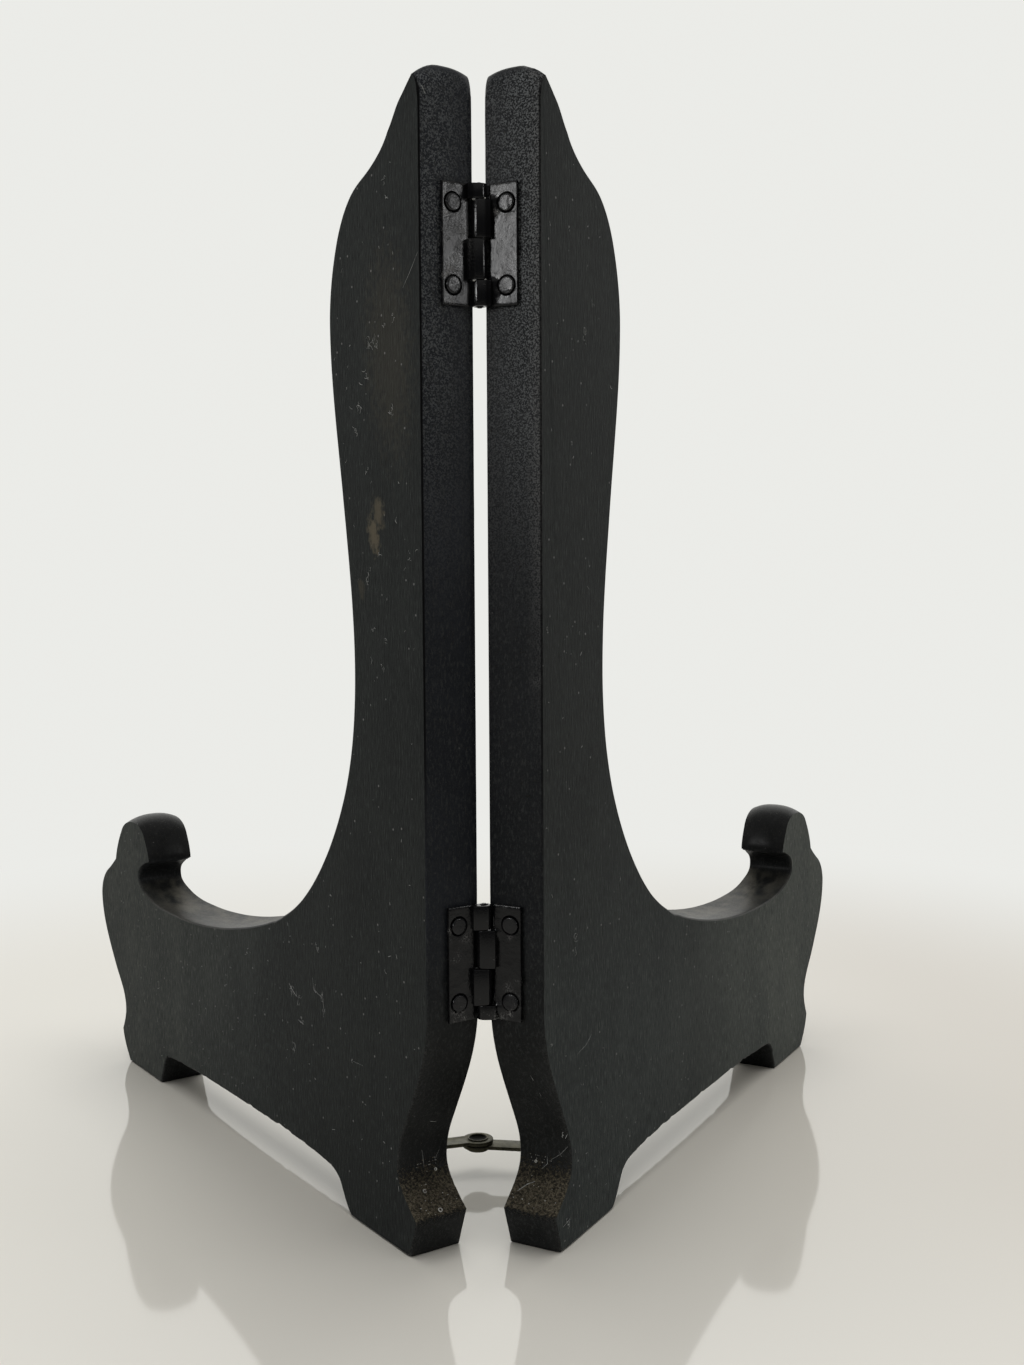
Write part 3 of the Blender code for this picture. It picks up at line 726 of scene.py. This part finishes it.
def crumb(builder, draw, centre, size, index):
    """One crumb, a lumpy flattened ball."""
    shape = Matrix.Translation(centre) @ Matrix.Rotation(draw.uniform(0, 6.3), 4, "Z")
    shape = shape @ Matrix.Diagonal((size, size * draw.uniform(0.6, 1.0), size * draw.uniform(0.5, 0.8), 1.0))
    made = bmesh.ops.create_icosphere(builder, subdivisions=1, radius=1.0, matrix=shape)
    for vert in made["verts"]:
        vert.co += Vector([draw.uniform(-0.2, 0.2) * size for _ in range(3)])
        for face in vert.link_faces:
            face.material_index = index


def make_splinters(material, count=26):
    """Torn fibres at the broken corner of the right crest."""
    draw = random.Random(5)
    builder = bmesh.new()
    crest = [p for p, _ in board_outline() if p.x < 4 and p.y > 247]
    for _ in range(count):
        point = draw.choice(crest)
        w = draw.uniform(8.6, 12.2)
        fall = 3.9 * max(0.0, 1 - (THICKNESS - w) / 6.5) ** 2
        centre = closed(1, max(point.x, 0.25) + fall * 0.5, w, min(point.y, 252.4 - fall) - 0.1)
        if draw.random() >= 0.6 * abs(w - 10.8):
            crumb(builder, draw, centre, draw.uniform(0.08, 0.2), 0)
    finish_crumbs("crest_splinters", builder, 1, [material])


def white_ring(builder, side, heel, w, z, radius):
    """A thin ring lying on the heel."""
    at = min(range(len(heel)), key=lambda i: abs(heel[i].y - z))
    along_heel = heel[max(at - 1, 0)] - heel[min(at + 1, len(heel) - 1)]
    off = Vector((0, -abs(along_heel.y), abs(along_heel.x))).normalized()
    place = Matrix.Translation(closed(side, heel[at].x, w, heel[at].y) + off * 0.05)
    place = place @ off.to_track_quat("Z", "Y").to_matrix().to_4x4()
    turns = [2 * pi * i / RING_STEPS for i in range(RING_STEPS)]
    torus = []
    for outward, upward in ((1, 0), (0, 1), (-1, 0), (0, -1)):
        size, height = radius + RING_THICKNESS * outward, RING_THICKNESS * upward
        corners = [place @ Vector((cos(a) * size, sin(a) * size, height)) for a in turns]
        torus.append([builder.verts.new(corner) for corner in corners])
    bridge(builder, torus + torus[:1], material_index=1)


def make_grit(side, materials, count=330):
    """Crumbs and white specks lying in the dust on a heel."""
    draw = random.Random(11 + side)
    builder = bmesh.new()
    heel = [p for p, _ in board_outline() if p.x < 13.3 and 9.3 < p.y < 24]
    for _ in range(count):
        point = draw.choice(heel)
        share = draw.random() ** 1.6
        w = draw.uniform(0.7, THICKNESS - 0.7)
        size = draw.uniform(0.06, 0.18) if share < 0.95 else 0.32
        colour = 1 if draw.random() < 0.12 else 0
        white_band = 17.5 < point.y < 20
        if draw.random() < ramp(point.y, 12.5, 19) and not (white_band and 2.5 < w < 8.5):
            continue
        if white_band and draw.random() < 0.5:
            colour = 1
        crumb(builder, draw, closed(side, point.x - 0.02, w, point.y + 0.02), size, colour)
    for ring in RINGS[side]:
        white_ring(builder, side, heel, *ring)
    finish_crumbs("heel_grit", builder, side, materials)


# ---------- lint
# (u, w, z) along each of the longer hairs and scuffs, and the breadth of its middle; no u on the rear edge
HAIRS = {
    -1: (
        (((64.8, 13, 48.5), (63.3, 13, 47.3), (61.0, 13, 46.1)), 0.22),
        (((60.2, 13, 40.5), (58.2, 13, 40.2)), 0.24),
        (((50.7, 13, 61.3), (49.2, 13, 59.5)), 0.20),
        (((52.4, 13, 52.7), (51.8, 13, 50.0), (47.3, 13, 48.8), (46.6, 13, 45.3)), 0.12),
        (((62.9, 13, 32.9), (62.3, 13, 32.1)), 0.28),
        (((33.0, 13, 37.5), (28.4, 13, 37.7)), 0.12),
        (((6.9, 13, 208.6), (3.8, 13, 211.7), (0.9, 13, 215.0)), 0.13),
        (((16.3, 13, 65.5), (15.2, 13, 65.9)), 0.26),
        (((12.9, 13, 66.7), (12.5, 13, 65.8)), 0.22),
        (((0, 12.2, 247.9), (0, 11.4, 246.4)), 0.2),
        (((None, 6.4, 28.8), (None, 4.9, 28.4)), 0.16),
        (((None, 6.9, 21.4), (None, 6.3, 17.4)), 0.10),
        (((None, 2.2, 20.6), (None, 3.6, 18.2)), 0.09),
    ),
    1: (
        (((16.3, 13, 42.6), (20.7, 13, 43.5), (23.6, 13, 45.1)), 0.13),
        (((9.1, 13, 5.7), (12.6, 13, 6.3)), 0.22),
        (((11.3, 13, 26.0), (10.3, 13, 25.3)), 0.2),
        (((4.1, 13, 81.1), (4.6, 13, 80.3)), 0.2),
        (((20.3, 13, 201.7), (20.8, 13, 200.4)), 0.24),
        (((24.1, 13, 208.7), (24.4, 13, 206.9)), 0.15),
        (((None, 7.9, 40.8), (None, 8.1, 38.8), (None, 8.9, 35.4)), 0.12),
        (((None, 7.4, 18.2), (None, 10.3, 20.3), (None, 12.4, 22.6)), 0.08),
        (((None, 9.4, 22.2), (None, 10.6, 19.8)), 0.10),
        (((None, 1.9, 12.0), (None, 3.6, 13.3), (None, 5.4, 14.0)), 0.13),
        (((None, 6.0, 16.4), (None, 7.1, 17.6), (None, 7.0, 19.2)), 0.10),
    ),
}
# (u, z, size) of the small tangles
TANGLES = {
    -1: (
        (64.0, 47.2, 1.5), (60.0, 45.8, 1.3), (58.4, 40.8, 1.2), (51.8, 50.0, 1.0), (47.9, 48.7, 1.4),
        (46.6, 45.9, 1.0), (62.7, 32.8, 1.2), (50.0, 61.1, 1.0), (88.9, 50.4, 0.8), (33.4, 37.6, 0.9),
        (42.4, 74.2, 0.7), (162.0, 28.0, 0.5), (21.9, 197.6, 2.2), (23.4, 191.6, 1.6), (18.4, 198.9, 1.4),
        (26.4, 185.7, 1.3), (12.0, 184.3, 1.2), (28.0, 180.2, 1.2), (23.3, 172.0, 0.9), (18.2, 153.7, 0.9),
        (5.5, 153.3, 1.0), (23.2, 148.4, 1.2), (10.6, 160.1, 0.8), (21.4, 137.3, 0.8), (15.9, 134.7, 1.0),
        (17.4, 129.1, 1.0), (13.8, 232.0, 1.0), (13.8, 228.0, 0.8), (11.1, 203.1, 0.9), (14.8, 201.9, 0.9),
    ),
    1: (
        (20.4, 200.6, 1.5), (33.3, 190.4, 0.7), (14.1, 177.3, 0.6), (2.6, 137.5, 0.7), (18.5, 131.8, 0.7),
        (4.5, 221.2, 0.5), (13.6, 222.3, 0.6), (15.0, 67.8, 1.8), (9.2, 26.7, 1.0), (11.6, 5.7, 1.4),
        (3.9, 48.1, 0.6),
    ),
}
STRAND_BREADTH = 0.66
STRAND_HEIGHT = 0.05
STRAND_SINK = 0.02


def inside(point, outline):
    crossed = False
    for a, b in zip(outline, outline[1:] + outline[:1]):
        if (a.y > point.y) != (b.y > point.y) and point.x < (b.x - a.x) * (point.y - a.y) / (b.y - a.y) + a.x:
            crossed = not crossed
    return crossed


def rear_edge(z, outline):
    return min((point for point in outline if point.x < 14), key=lambda point: abs(point.y - z)).x


def tangled_strands(side, draw):
    """The curled hairs of the small tangles."""
    for u, z, size in TANGLES[side]:
        for _ in range(3 if size < 1.1 else 5):
            heading, bend = draw.uniform(0, 2 * pi), draw.uniform(-2.6, 2.6)
            point = Vector((u + draw.gauss(0, size * 0.3), z + draw.gauss(0, size * 0.45)))
            strand = []
            for _ in range(7):
                strand.append((point.x, THICKNESS, point.y))
                point = point + along(heading) * size * draw.uniform(0.8, 1.2) / 5
                heading += bend / 3 + draw.uniform(-0.3, 0.3)
            yield strand, draw.uniform(0.06, 0.13)


def stray_strands(draw, outline, count):
    """Short bent flecks scattered over the outer face."""
    found = 0
    while found < count:
        u, z = draw.uniform(2, 185), draw.uniform(3, 240)
        heading, bend = draw.uniform(0, pi), draw.uniform(-0.9, 0.9)
        size = draw.uniform(0.15, 0.7) if draw.random() < 0.8 else draw.uniform(0.8, 1.7)
        strand = [Vector((u, z))]
        for _ in range(4):
            strand.append(strand[-1] + along(heading) * size / 4)
            heading += bend / 2
        ends_inside = inside(strand[0], outline) and inside(strand[-1], outline)
        if ends_inside and min((strand[0] - point).length for point in outline) > 1.5:
            found += 1
            yield [(p.x, THICKNESS, p.y) for p in strand], draw.uniform(0.09, 0.19) if size < 0.7 else 0.09


def add_strand(builder, points, off, breadth):
    """A thin four-sided strand along the points, tapered at its ends; off points away from the board."""
    points = [point - off * STRAND_SINK for point in points]
    rings = []
    for i, point in enumerate(points):
        ahead = (points[min(i + 1, len(points) - 1)] - points[max(i - 1, 0)]).normalized()
        aside = off.cross(ahead).normalized()
        wide = breadth * STRAND_BREADTH * (0.45 if i in (0, len(points) - 1) else 1.0)
        corners = (aside * wide, off * min(STRAND_HEIGHT, wide), -aside * wide, -off * STRAND_SINK)
        rings.append([builder.verts.new(point + corner) for corner in corners])
    bridge(builder, rings)
    builder.faces.new(rings[0])
    builder.faces.new(rings[-1])


def make_lint(side, material, count):
    """Hairs, tangles and flecks of lint lying on the outer face and the rear edge."""
    draw = random.Random(31 + side)
    outline = [point for point, _ in board_outline()]
    strands = [*HAIRS[side], *tangled_strands(side, draw), *stray_strands(draw, outline, count)]
    builder = bmesh.new()
    for strand, breadth in strands:
        points = [closed(side, rear_edge(z, outline) if u is None else u, w, z) for u, w, z in strand]
        on_face = strand[0][1] >= THICKNESS
        add_strand(builder, points, Vector((side, 0, 0)) if on_face else Vector((0, -1, 0)), breadth)
    finish_crumbs("lint", builder, side, [material])


# ---------- hinges
HINGE_Z = {"upper": 217.1, "lower": 66.3}
SHINE = {"upper": 0.44, "lower": 0.36}
HINGE_HALF = 12.5
KNUCKLES = (3.2, 8.0, 8.4, 5.4)
BARREL = 1.65
BORE = 0.95
LEAF_BACK = EDGE_TO_AXIS - 0.3
LEAF_FRONT = LEAF_BACK - 0.8
LEAF_END = HALF_GAP + 8.2
NAIL_SPREAD = 8.35
NAIL_X = HALF_GAP + 5.7
# (radius, height) of the dimple round a nail, and of the nail itself, from the leaf's front
DIMPLE = ((0.0, -1.0), (2.9, -1.0), (2.12, 0.12), (1.75, 0.36), (0.85, 0.62), (0.85, 3.0), (0.0, 3.0))
NAIL = (
    (0.0, 9.8), (0.6, 8.5), (0.6, 0.5), (1.5, 0.1), (1.76, -0.06), (1.8, -0.18), (1.77, -0.27),
    (1.70, -0.335), (1.56, -0.37), (1.35, -0.385), (1.0, -0.392), (0.5, -0.398), (0.0, -0.4),
)
NAIL_LEAN = radians(3.5)
# (x, z, radius, strength) of the smudges of dust on each leaf
RESIDUE = {
    ("upper", -1): (
        (6.6, -5.2, 1.0, 0.8), (7.6, -6.3, 0.9, 0.9), (4.6, -5.6, 0.8, 0.6), (5.2, -3.2, 0.9, 0.5),
        (7.7, 5.9, 0.8, 0.6), (6.4, -11.6, 0.7, 0.4), (3.2, 2.2, 1.2, 0.3),
    ),
    ("upper", 1): (
        (3.6, 6.6, 0.45, 0.9), (6.4, 5.4, 0.8, 0.4), (4.6, 11.3, 1.0, 0.4), (6.8, -4.0, 1.6, 0.25),
    ),
    ("lower", -1): (
        (6.1, -10.6, 0.6, 1.0), (5.3, -10.5, 0.5, 0.9), (7.3, -10.0, 0.5, 0.7), (7.9, 7.6, 0.5, 0.8),
        (3.9, 5.6, 0.8, 0.5), (4.8, -12.0, 0.5, 0.9), (7.2, -11.9, 0.5, 0.5),
    ),
    ("lower", 1): (
        (5.7, -10.7, 0.6, 1.0), (4.2, -11.8, 0.7, 0.6), (2.8, -12.0, 0.5, 0.7), (5.8, 5.9, 0.6, 0.4),
        (5.4, -5.4, 0.9, 0.4),
    ),
}


def knuckle_spans(hinge):
    """(side, low, high) of each knuckle; the lower hinge is the upper one upside down."""
    top = HINGE_HALF
    for i, height in enumerate(KNUCKLES):
        low = top - height
        if hinge == "upper":
            yield (-1, 1)[i % 2], low, top
        else:
            yield (1, -1)[i % 2], -top, -low
        top = low


def knuckle_outline(side):
    """A rolled knuckle from above: the sheet comes round the pin and ends, a little open, over its leaf."""
    angles = [radians(70 + 232 * i / 30) for i in range(31)]
    points = [(BARREL * cos(a), BARREL * sin(a)) for a in angles]
    points += [(1.55, -1.03), (2.2, -0.66), (2.82, -0.25), (2.86, 0.05), (2.6, 0.75), (2.5, 1.2)]
    return [(side * x, y) for x, y in points]


def plate_relief(side, own, seed, x, z):
    """How far the plate's front stands out: bent up into its own knuckles, dented round its nails."""
    near = max(ramp(z, low - 0.5, low + 0.5) * ramp(z, high + 0.5, high - 0.5) for low, high in own)
    beside = exp(-(((abs(z) - NAIL_SPREAD) / (3.4 if abs(z) > NAIL_SPREAD else 2.4)) ** 2))
    wide, least = (2.4, 0.8) if side > 0 else (1.2, 0.4)
    reach = 1.9 + 1.3 * near + wide * beside * max(near, least)
    reach += 0.5 * near * noise.noise(Vector((0, z * 0.5, 3)) + seed)
    relief = 0.6 * tanh(0.10 * max(0.0, reach - x) ** 2 / 0.6) * ramp(x, 1.7, 2.5)
    relief += 0.05 * noise.noise(Vector((x, z, 0)) * 0.25 + seed)
    relief += 0.012 * noise.noise(Vector((x, z, 9)) * 0.9 + seed)
    for up in (-1, 1):
        away = dist((x, z), (NAIL_X, up * NAIL_SPREAD))
        relief -= 0.10 * exp(-((away / 2.3) ** 2))
    return relief


def root_shade(side, own, seed, x, z):
    """1 where the sheet turns dark on its way into its own knuckles."""
    near = max(ramp(z, low - 0.4, low + 0.3) * ramp(z, high + 0.4, high - 0.3) for low, high in own)
    beside = exp(-(((abs(z) - NAIL_SPREAD) / 3.2) ** 2))
    reach = near * (2.7 + (2.9 if side > 0 else 1.4) * beside)
    reach += 0.9 * noise.noise(Vector((x, z, 5)) * 0.6 + seed)
    return ramp(x, reach + 0.35, reach - 0.35)


def leaf_plate(side, spans):
    """The flat of a leaf, notched round the other leaf's knuckles and finely divided."""
    inner = [(LEAF_END, -HINGE_HALF)]
    for owner, low, high in spans:
        reach = 1.0 if owner == side else 1.86
        inner += [(reach, max(low, -HINGE_HALF)), (reach, high)]
    outline = [(side * x, z) for x, z in [*inner, (LEAF_END, HINGE_HALF)]]
    plate = rounded_plate(outline, -LEAF_BACK, -LEAF_FRONT, 0.14)
    for i in range(15):
        cut_face(plate, (side * (1.23 + 0.5 * i), 0, 0), (1, 0, 0))
    for i in range(1, 36):
        cut_face(plate, (0, i * 25 / 36 - HINGE_HALF, 0), (0, 1, 0))
    bmesh.ops.transform(plate, matrix=Matrix.Rotation(pi / 2, 4, "X"), verts=plate.verts)
    return plate


def make_leaf(hinge, side, material):
    """A pressed leaf: a plate bent and dented by its nails, with its own rolled knuckles."""
    spans = sorted(knuckle_spans(hinge), key=lambda span: span[1])
    own = [(low, high) for owner, low, high in spans if owner == side]
    outline = knuckle_outline(side)
    work = [("UNION", rounded_plate(outline, low + 0.07, high - 0.07, 0.17, 3)) for low, high in own]
    work.append(("DIFFERENCE", turned([(0, -20), (BORE, -20), (BORE, 20), (0, 20)], 32)))
    for up in (-1, 1):
        place = Matrix.Translation((side * NAIL_X, LEAF_FRONT, up * NAIL_SPREAD))
        work.append(("DIFFERENCE", turned(DIMPLE, 36, place @ Matrix.Rotation(-pi / 2, 4, "X"))))
    builder = combined(leaf_plate(side, spans), work)
    knuckle_layer = builder.verts.layers.float.new("knuckle")
    residue_layer = builder.verts.layers.float.new("residue")
    shade_layer = builder.verts.layers.float.new("shade")
    seed = Vector((side * 5.0, HINGE_Z[hinge], 0.0))
    for vert in builder.verts:
        x, y, z = abs(vert.co.x), vert.co.y, vert.co.z
        vert.co.y -= plate_relief(side, own, seed, x, z) * ramp(y, 0.1, 0.8) * ramp(y, 1.3, 1.0)
        vert[knuckle_layer] = ramp(y, 0.35, 0.1) if x < 3.0 else 0.0
        vert[shade_layer] = root_shade(side, own, seed, x, z) if hinge == "upper" and x > 2.0 else 0.0
        for spot_x, spot_z, radius, strength in RESIDUE[hinge, side]:
            away = dist((x, z), (spot_x, spot_z)) / radius
            vert[residue_layer] = max(vert[residue_layer], strength * exp(-(away**2)))
    hand = SIDES[side]
    finish_piece(
        f"{hinge}_{hand}_leaf_plate",
        builder,
        board_frame(side) @ Matrix.Translation((0, 0, HINGE_Z[hinge])),
        [material],
        f"{hand}_board",
        [f"{hinge}_hinge_{hand}_leaf"],
    )


def make_glint_beads(side, material):
    """Pale beads at the ends of the upper hinge's knuckles: painted glints where the knuckle ends catch the
    light.
    """
    draw = random.Random(3 + side)
    builder = bmesh.new()
    for z in (9.3, -7.1) if side > 0 else (9.1, -7.3):
        crumb(builder, draw, (side * 1.18, -1.34, HINGE_Z["upper"] + z), 0.31, 0)
    if side > 0:
        crumb(builder, draw, (3.7, -1.62, HINGE_Z["upper"] + 6.6), 0.16, 0)
    hand = SIDES[side]
    finish_piece(f"{hand}_knuckle_glint_beads", builder, ABOUT_PIN, [material], f"{hand}_board")


def make_nails(hinge, side, material):
    """Hammered nail heads, each a little out of true."""
    hand = SIDES[side]
    for nail, up in (("top", 1), ("bottom", -1)):
        draw = random.Random(f"{hinge}{side}{nail}")
        lean = Matrix.Rotation(draw.uniform(-NAIL_LEAN, NAIL_LEAN), 4, "X")
        lean = lean @ Matrix.Rotation(draw.uniform(-NAIL_LEAN, NAIL_LEAN), 4, "Z")
        place = Matrix.Translation((side * NAIL_X, LEAF_FRONT, HINGE_Z[hinge] + up * NAIL_SPREAD))
        builder = turned(NAIL, 40, place @ lean @ Matrix.Rotation(-pi / 2, 4, "X"))
        for vert in builder.verts:
            vert.co += Vector((0, 0.03, 0)) * noise.noise(vert.co * 0.8)
        name, body = f"{hinge}_{hand}_nail_{nail}_head", f"{hand}_board"
        node = f"{hinge}_hinge_{hand}_nail_{nail}"
        finish_piece(name, builder, board_frame(side), [material], body, [node])


# ---------- stay
STAY_TOP = 8.7
LINK_LENGTH = {-1: 33.7, 1: 34.7}
SCREW_U = {-1: 50.0, 1: 51.5}
LINK_HALF_WIDTH = 2.5
LINK_EYE = 3.8
LINK_THICKNESS = 0.9
EYE_STEPS = 44
SCREW_HOLE = 1.25
LAYER_STEP = 1.1
JOGGLE = (14.0, 23.0)
JOGGLE_STEPS = 8
# (radius, height) of the left link's countersink and of the rivet's cup, heights from the stay's top
SINK = ((0, -3.7), (1.72, -3.7), (1.72, -0.62), (2.75, 0.04), (2.75, 1.3), (0, 1.3))
CUP = (
    (0.0, -0.84), (1.6, -0.84), (1.65, -0.5), (2.35, 0.02), (2.5, 0.1), (2.52, 0.2), (2.42, 0.29),
    (2.25, 0.27), (2.12, 0.12), (2.0, -0.1), (1.5, -0.45), (1.1, -0.62), (0.0, -0.7),
)
CUP_HOLLOW = 2.1


def raised(profile):
    return [(radius, STAY_TOP + height) for radius, height in profile]


def link_outline(length):
    """A strip with a round eye at each end."""
    cover = asin(LINK_HALF_WIDTH / LINK_EYE)
    points = []
    for centre, start in ((0.0, cover), (length, cover - pi)):
        for i in range(EYE_STEPS + 1):
            angle = start + 2 * (pi - cover) * i / EYE_STEPS
            points.append((centre + LINK_EYE * cos(angle), LINK_EYE * sin(angle)))
    return points


def joggle(builder, length):
    """Steps the end of the right link down, to pass under the left one."""
    start, end = length - JOGGLE[1], length - JOGGLE[0]
    for i in range(JOGGLE_STEPS + 1):
        cut_face(builder, (start + (end - start) * i / JOGGLE_STEPS, 0, 0), (1, 0, 0))
    for vert in builder.verts:
        vert.co.z -= LAYER_STEP * ramp(vert.co.x, start, end)


def make_stay(material, inside_material):
    """The two links and the rivet's cup, where their pivots stand at rest."""
    pivots = {}
    for side in SIDES:
        pivots[side] = board_frame(side) @ closed(side, SCREW_U[side], THICKNESS / 2, 0.0) / MM
    way = pivots[1] - pivots[-1]
    first, second = LINK_LENGTH[-1], LINK_LENGTH[1]
    share = (first**2 - second**2 + way.length**2) / (2 * way.length)
    across = Vector((-way.y, way.x, 0)).normalized()
    rivet = pivots[-1] + way.normalized() * share + across * sqrt(first**2 - share**2)
    for side, hand in SIDES.items():
        length = LINK_LENGTH[side]
        builder = rounded_plate(link_outline(length), STAY_TOP - LINK_THICKNESS, STAY_TOP, 0.16, 3)
        cuts = [("DIFFERENCE", turned([(0, 5), (SCREW_HOLE, 5), (SCREW_HOLE, 10), (0, 10)], 24))]
        if side < 0:
            cuts.append(("DIFFERENCE", turned(raised(SINK), 40, Matrix.Translation((length, 0, 0)))))
        else:
            joggle(builder, length)
        heading = rivet - pivots[side]
        turn = Matrix.Rotation(atan2(heading.y, heading.x), 4, "Z")
        finish_piece(
            f"stay_{hand}_strip",
            combined(builder, cuts),
            Matrix.Scale(MM, 4) @ Matrix.Translation(pivots[side]) @ turn,
            [material],
            f"{hand}_link",
            [f"stay_{hand}_link"],
        )
    builder = turned(raised(CUP), 48)
    # painted shade: the hollow of the cup takes the near-black brass
    for face in builder.faces:
        centre = face.calc_center_median()
        if centre.xy.length < CUP_HOLLOW and centre.z > STAY_TOP - 0.75 and face.normal.z > 0:
            face.material_index = 1
    materials, matrix = [material, inside_material], Matrix.Scale(MM, 4) @ Matrix.Translation(rivet)
    finish_piece("stay_rivet_cup", builder, matrix, materials, "left_link", ["stay_rivet"])


# ---------- the whole stand
# ((u, z), (reach along u, reach along z), lean, strength) of each rubbed patch on the left board
WORN_PATCHES = (
    ((18.2, 162.6), (2.8, 4.2), 0.35, 0.72),
    ((20.4, 157.6), (2.5, 5.0), 0.35, 0.9),
    ((26.0, 145.9), (1.6, 3.2), 0.3, 0.25),
    ((13.0, 196.0), (11.0, 26.0), 0.1, 0.16),
)
STRAY_LINT = {-1: 120, 1: 60}


def repaint(node, material):
    """Gives a CAD node that stays in view its material."""
    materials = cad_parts[node].data.materials
    materials.clear()
    materials.append(material)


dirt = powder("heel_crumb", (0.120, 0.100, 0.070))
white = powder("heel_white_speck", (0.55, 0.54, 0.50))
fluff = powder("lint", (0.42, 0.425, 0.41))
for board_side, board_hand in SIDES.items():
    left = board_side < 0
    outer = face_paint(
        f"{board_hand}_outer_paint",
        board_side,
        ARM_SHEEN_LIFT[board_side],
        low_light_lift=0.0 if left else LOW_LIGHT_LIFT,
        patches=WORN_PATCHES if left else (),
    )
    inner = face_paint(f"{board_hand}_inner_paint", board_side + 5, INNER_ARM_SHEEN_LIFT)
    make_board(board_side, [outer, edge_paint(f"{board_hand}_edge_paint", board_side), inner])
    make_grit(board_side, [dirt, white])
    make_lint(board_side, fluff, STRAY_LINT[board_side])
make_splinters(white)
for board_side in SIDES:
    make_glint_beads(board_side, white)

for hinge_name, shine in SHINE.items():
    leaf_enamel = enamel(f"{hinge_name}_leaf_enamel", shine, shaded_roots=hinge_name == "upper")
    nail_enamel = enamel(f"{hinge_name}_nail_enamel", shine, (0.007, 0.007, 0.008, 1), 0.3)
    for board_side in SIDES:
        make_leaf(hinge_name, board_side, leaf_enamel)
        make_nails(hinge_name, board_side, nail_enamel)
    repaint(f"{hinge_name}_hinge_pin", leaf_enamel)

brass = old_brass("stay_brass", (0.056, 0.053, 0.034, 1), (0.152, 0.142, 0.094, 1))
# painted shade: near-black brass for the hollow of the rivet's cup
brass_in_painted_shade = old_brass("stay_brass_inside_painted_shade", (0.004, 0.004, 0.003, 1), (0.011, 0.011, 0.008, 1))
make_stay(brass, brass_in_painted_shade)
for node in ("stay_rivet_washer", "stay_left_screw", "stay_right_screw"):
    repaint(node, brass)

# ---------- floor
FLOOR_REACH = 6.0
FLOOR_DROP = 0.0001
PALE = (0.832, 0.835, 0.805, 1)


def make_floor():
    """A glossy pale floor fading into the backdrop; painted lighter and warmer to the camera than to the
    stand, with painted shade to the right and painted light toward the camera.
    """
    builder = bmesh.new()
    bmesh.ops.create_grid(builder, x_segments=1, y_segments=1, size=FLOOR_REACH)
    bmesh.ops.translate(builder, verts=builder.verts, vec=(0, 0, -FLOOR_DROP))
    floor = new_object("floor", mesh_of(builder))
    paint = Paint("floor")
    seen = paint.node("LightPath").outputs["Is Camera Ray"]
    place = paint.node("TexCoord").outputs["Object"]
    spot = paint.split(place)
    colour = paint.coats(
        (0.893, 0.859, 0.782, 1),
        # painted shade: darker to the right
        (paint.smooth(spot["X"], 0.02, 0.18), (0.748, 0.698, 0.624, 1)),
        # painted light: lighter toward the camera
        (paint.smooth(spot["Y"], -0.03, -0.16, 0.0, 0.6), (0.955, 0.925, 0.860, 1)),
    )
    # painted light: the camera sees the floor lighter and warmer than the floor that lights the stand
    colour = paint.mix(seen, (0.70, 0.685, 0.64, 1), colour)
    floor.data.materials.append(paint.finish({"Base Color": colour, "Roughness": 0.06, "IOR": 1.9}))
    fade = paint.product(paint.smooth(paint.length(place), 0.20, 0.42), seen)
    glow = paint.node("Emission", {"Color": PALE, "Strength": 1.0})
    surface = paint.node("MixShader", {0: fade, 1: paint.shader.outputs[0], 2: glow.outputs[0]})
    paint.feed(paint.tree.nodes["Material Output"].inputs["Surface"], surface.outputs[0])
    return floor


floor = make_floor()

# ---------- light
world = bpy.data.worlds.new("studio")
bpy.context.scene.world = world
world.use_nodes = True
sky = Graph(world.node_tree)
direction = sky.split(sky.node("TexCoord").outputs["Generated"])
behind = sky.smooth(direction["Y"], 0.05, -0.45)
low = sky.smooth(direction["Z"], 0.50, 0.12)
room = sky.mix(sky.smooth(direction["X"], -1.0, 1.0), (0.27, 0.27, 0.265, 1), (0.38, 0.378, 0.365, 1))
room = sky.coats(
    room,
    (sky.smooth(direction["Y"], 0.42, 0.68), (0.97, 0.97, 0.935, 1)),
    (sky.product(behind, low), (0.05, 0.051, 0.053, 1)),
    (sky.node("LightPath").outputs["Is Camera Ray"], PALE),
)
sky.feed(world.node_tree.nodes["Background"].inputs["Color"], room)

all_but_floor = bpy.data.collections.new("all_but_floor")
all_but_floor.objects.link(floor)
all_but_floor.collection_objects[0].light_linking.link_state = "EXCLUDE"
HINGE_AIM = (0, -0.08, 0.217)


def softbox(name, place, aim, size, power, mirrored=True):
    """A soft lamp; one that the stand mirrors leaves the floor alone, so that it doesn't show there."""
    data = bpy.data.lights.new(name, "AREA")
    data.shape = "RECTANGLE"
    data.size, data.size_y = size
    data.energy = power
    light = new_object(name, data)
    light.location = place
    light.rotation_euler = (Vector(aim) - Vector(place)).to_track_quat("-Z", "Y").to_euler()
    light.visible_camera = False
    light.visible_glossy = mirrored
    if mirrored:
        light.light_linking.receiver_collection = all_but_floor


softbox("overhead", (0.05, -0.1, 1.3), (0, 0, 0), (1.4, 1.2), 8.4, mirrored=False)
softbox("left_window", (-1.09, -0.79, 0.46), HINGE_AIM, (0.50, 0.32), 2.3)
softbox("left_slit", (-0.99, -0.93, 0.46), HINGE_AIM, (0.07, 0.42), 1.4)
softbox("right_fill", (1.20, -0.66, 0.46), HINGE_AIM, (0.40, 0.32), 0.62)
softbox("right_slit", (1.22, -0.58, 0.46), HINGE_AIM, (0.04, 0.42), 0.6)
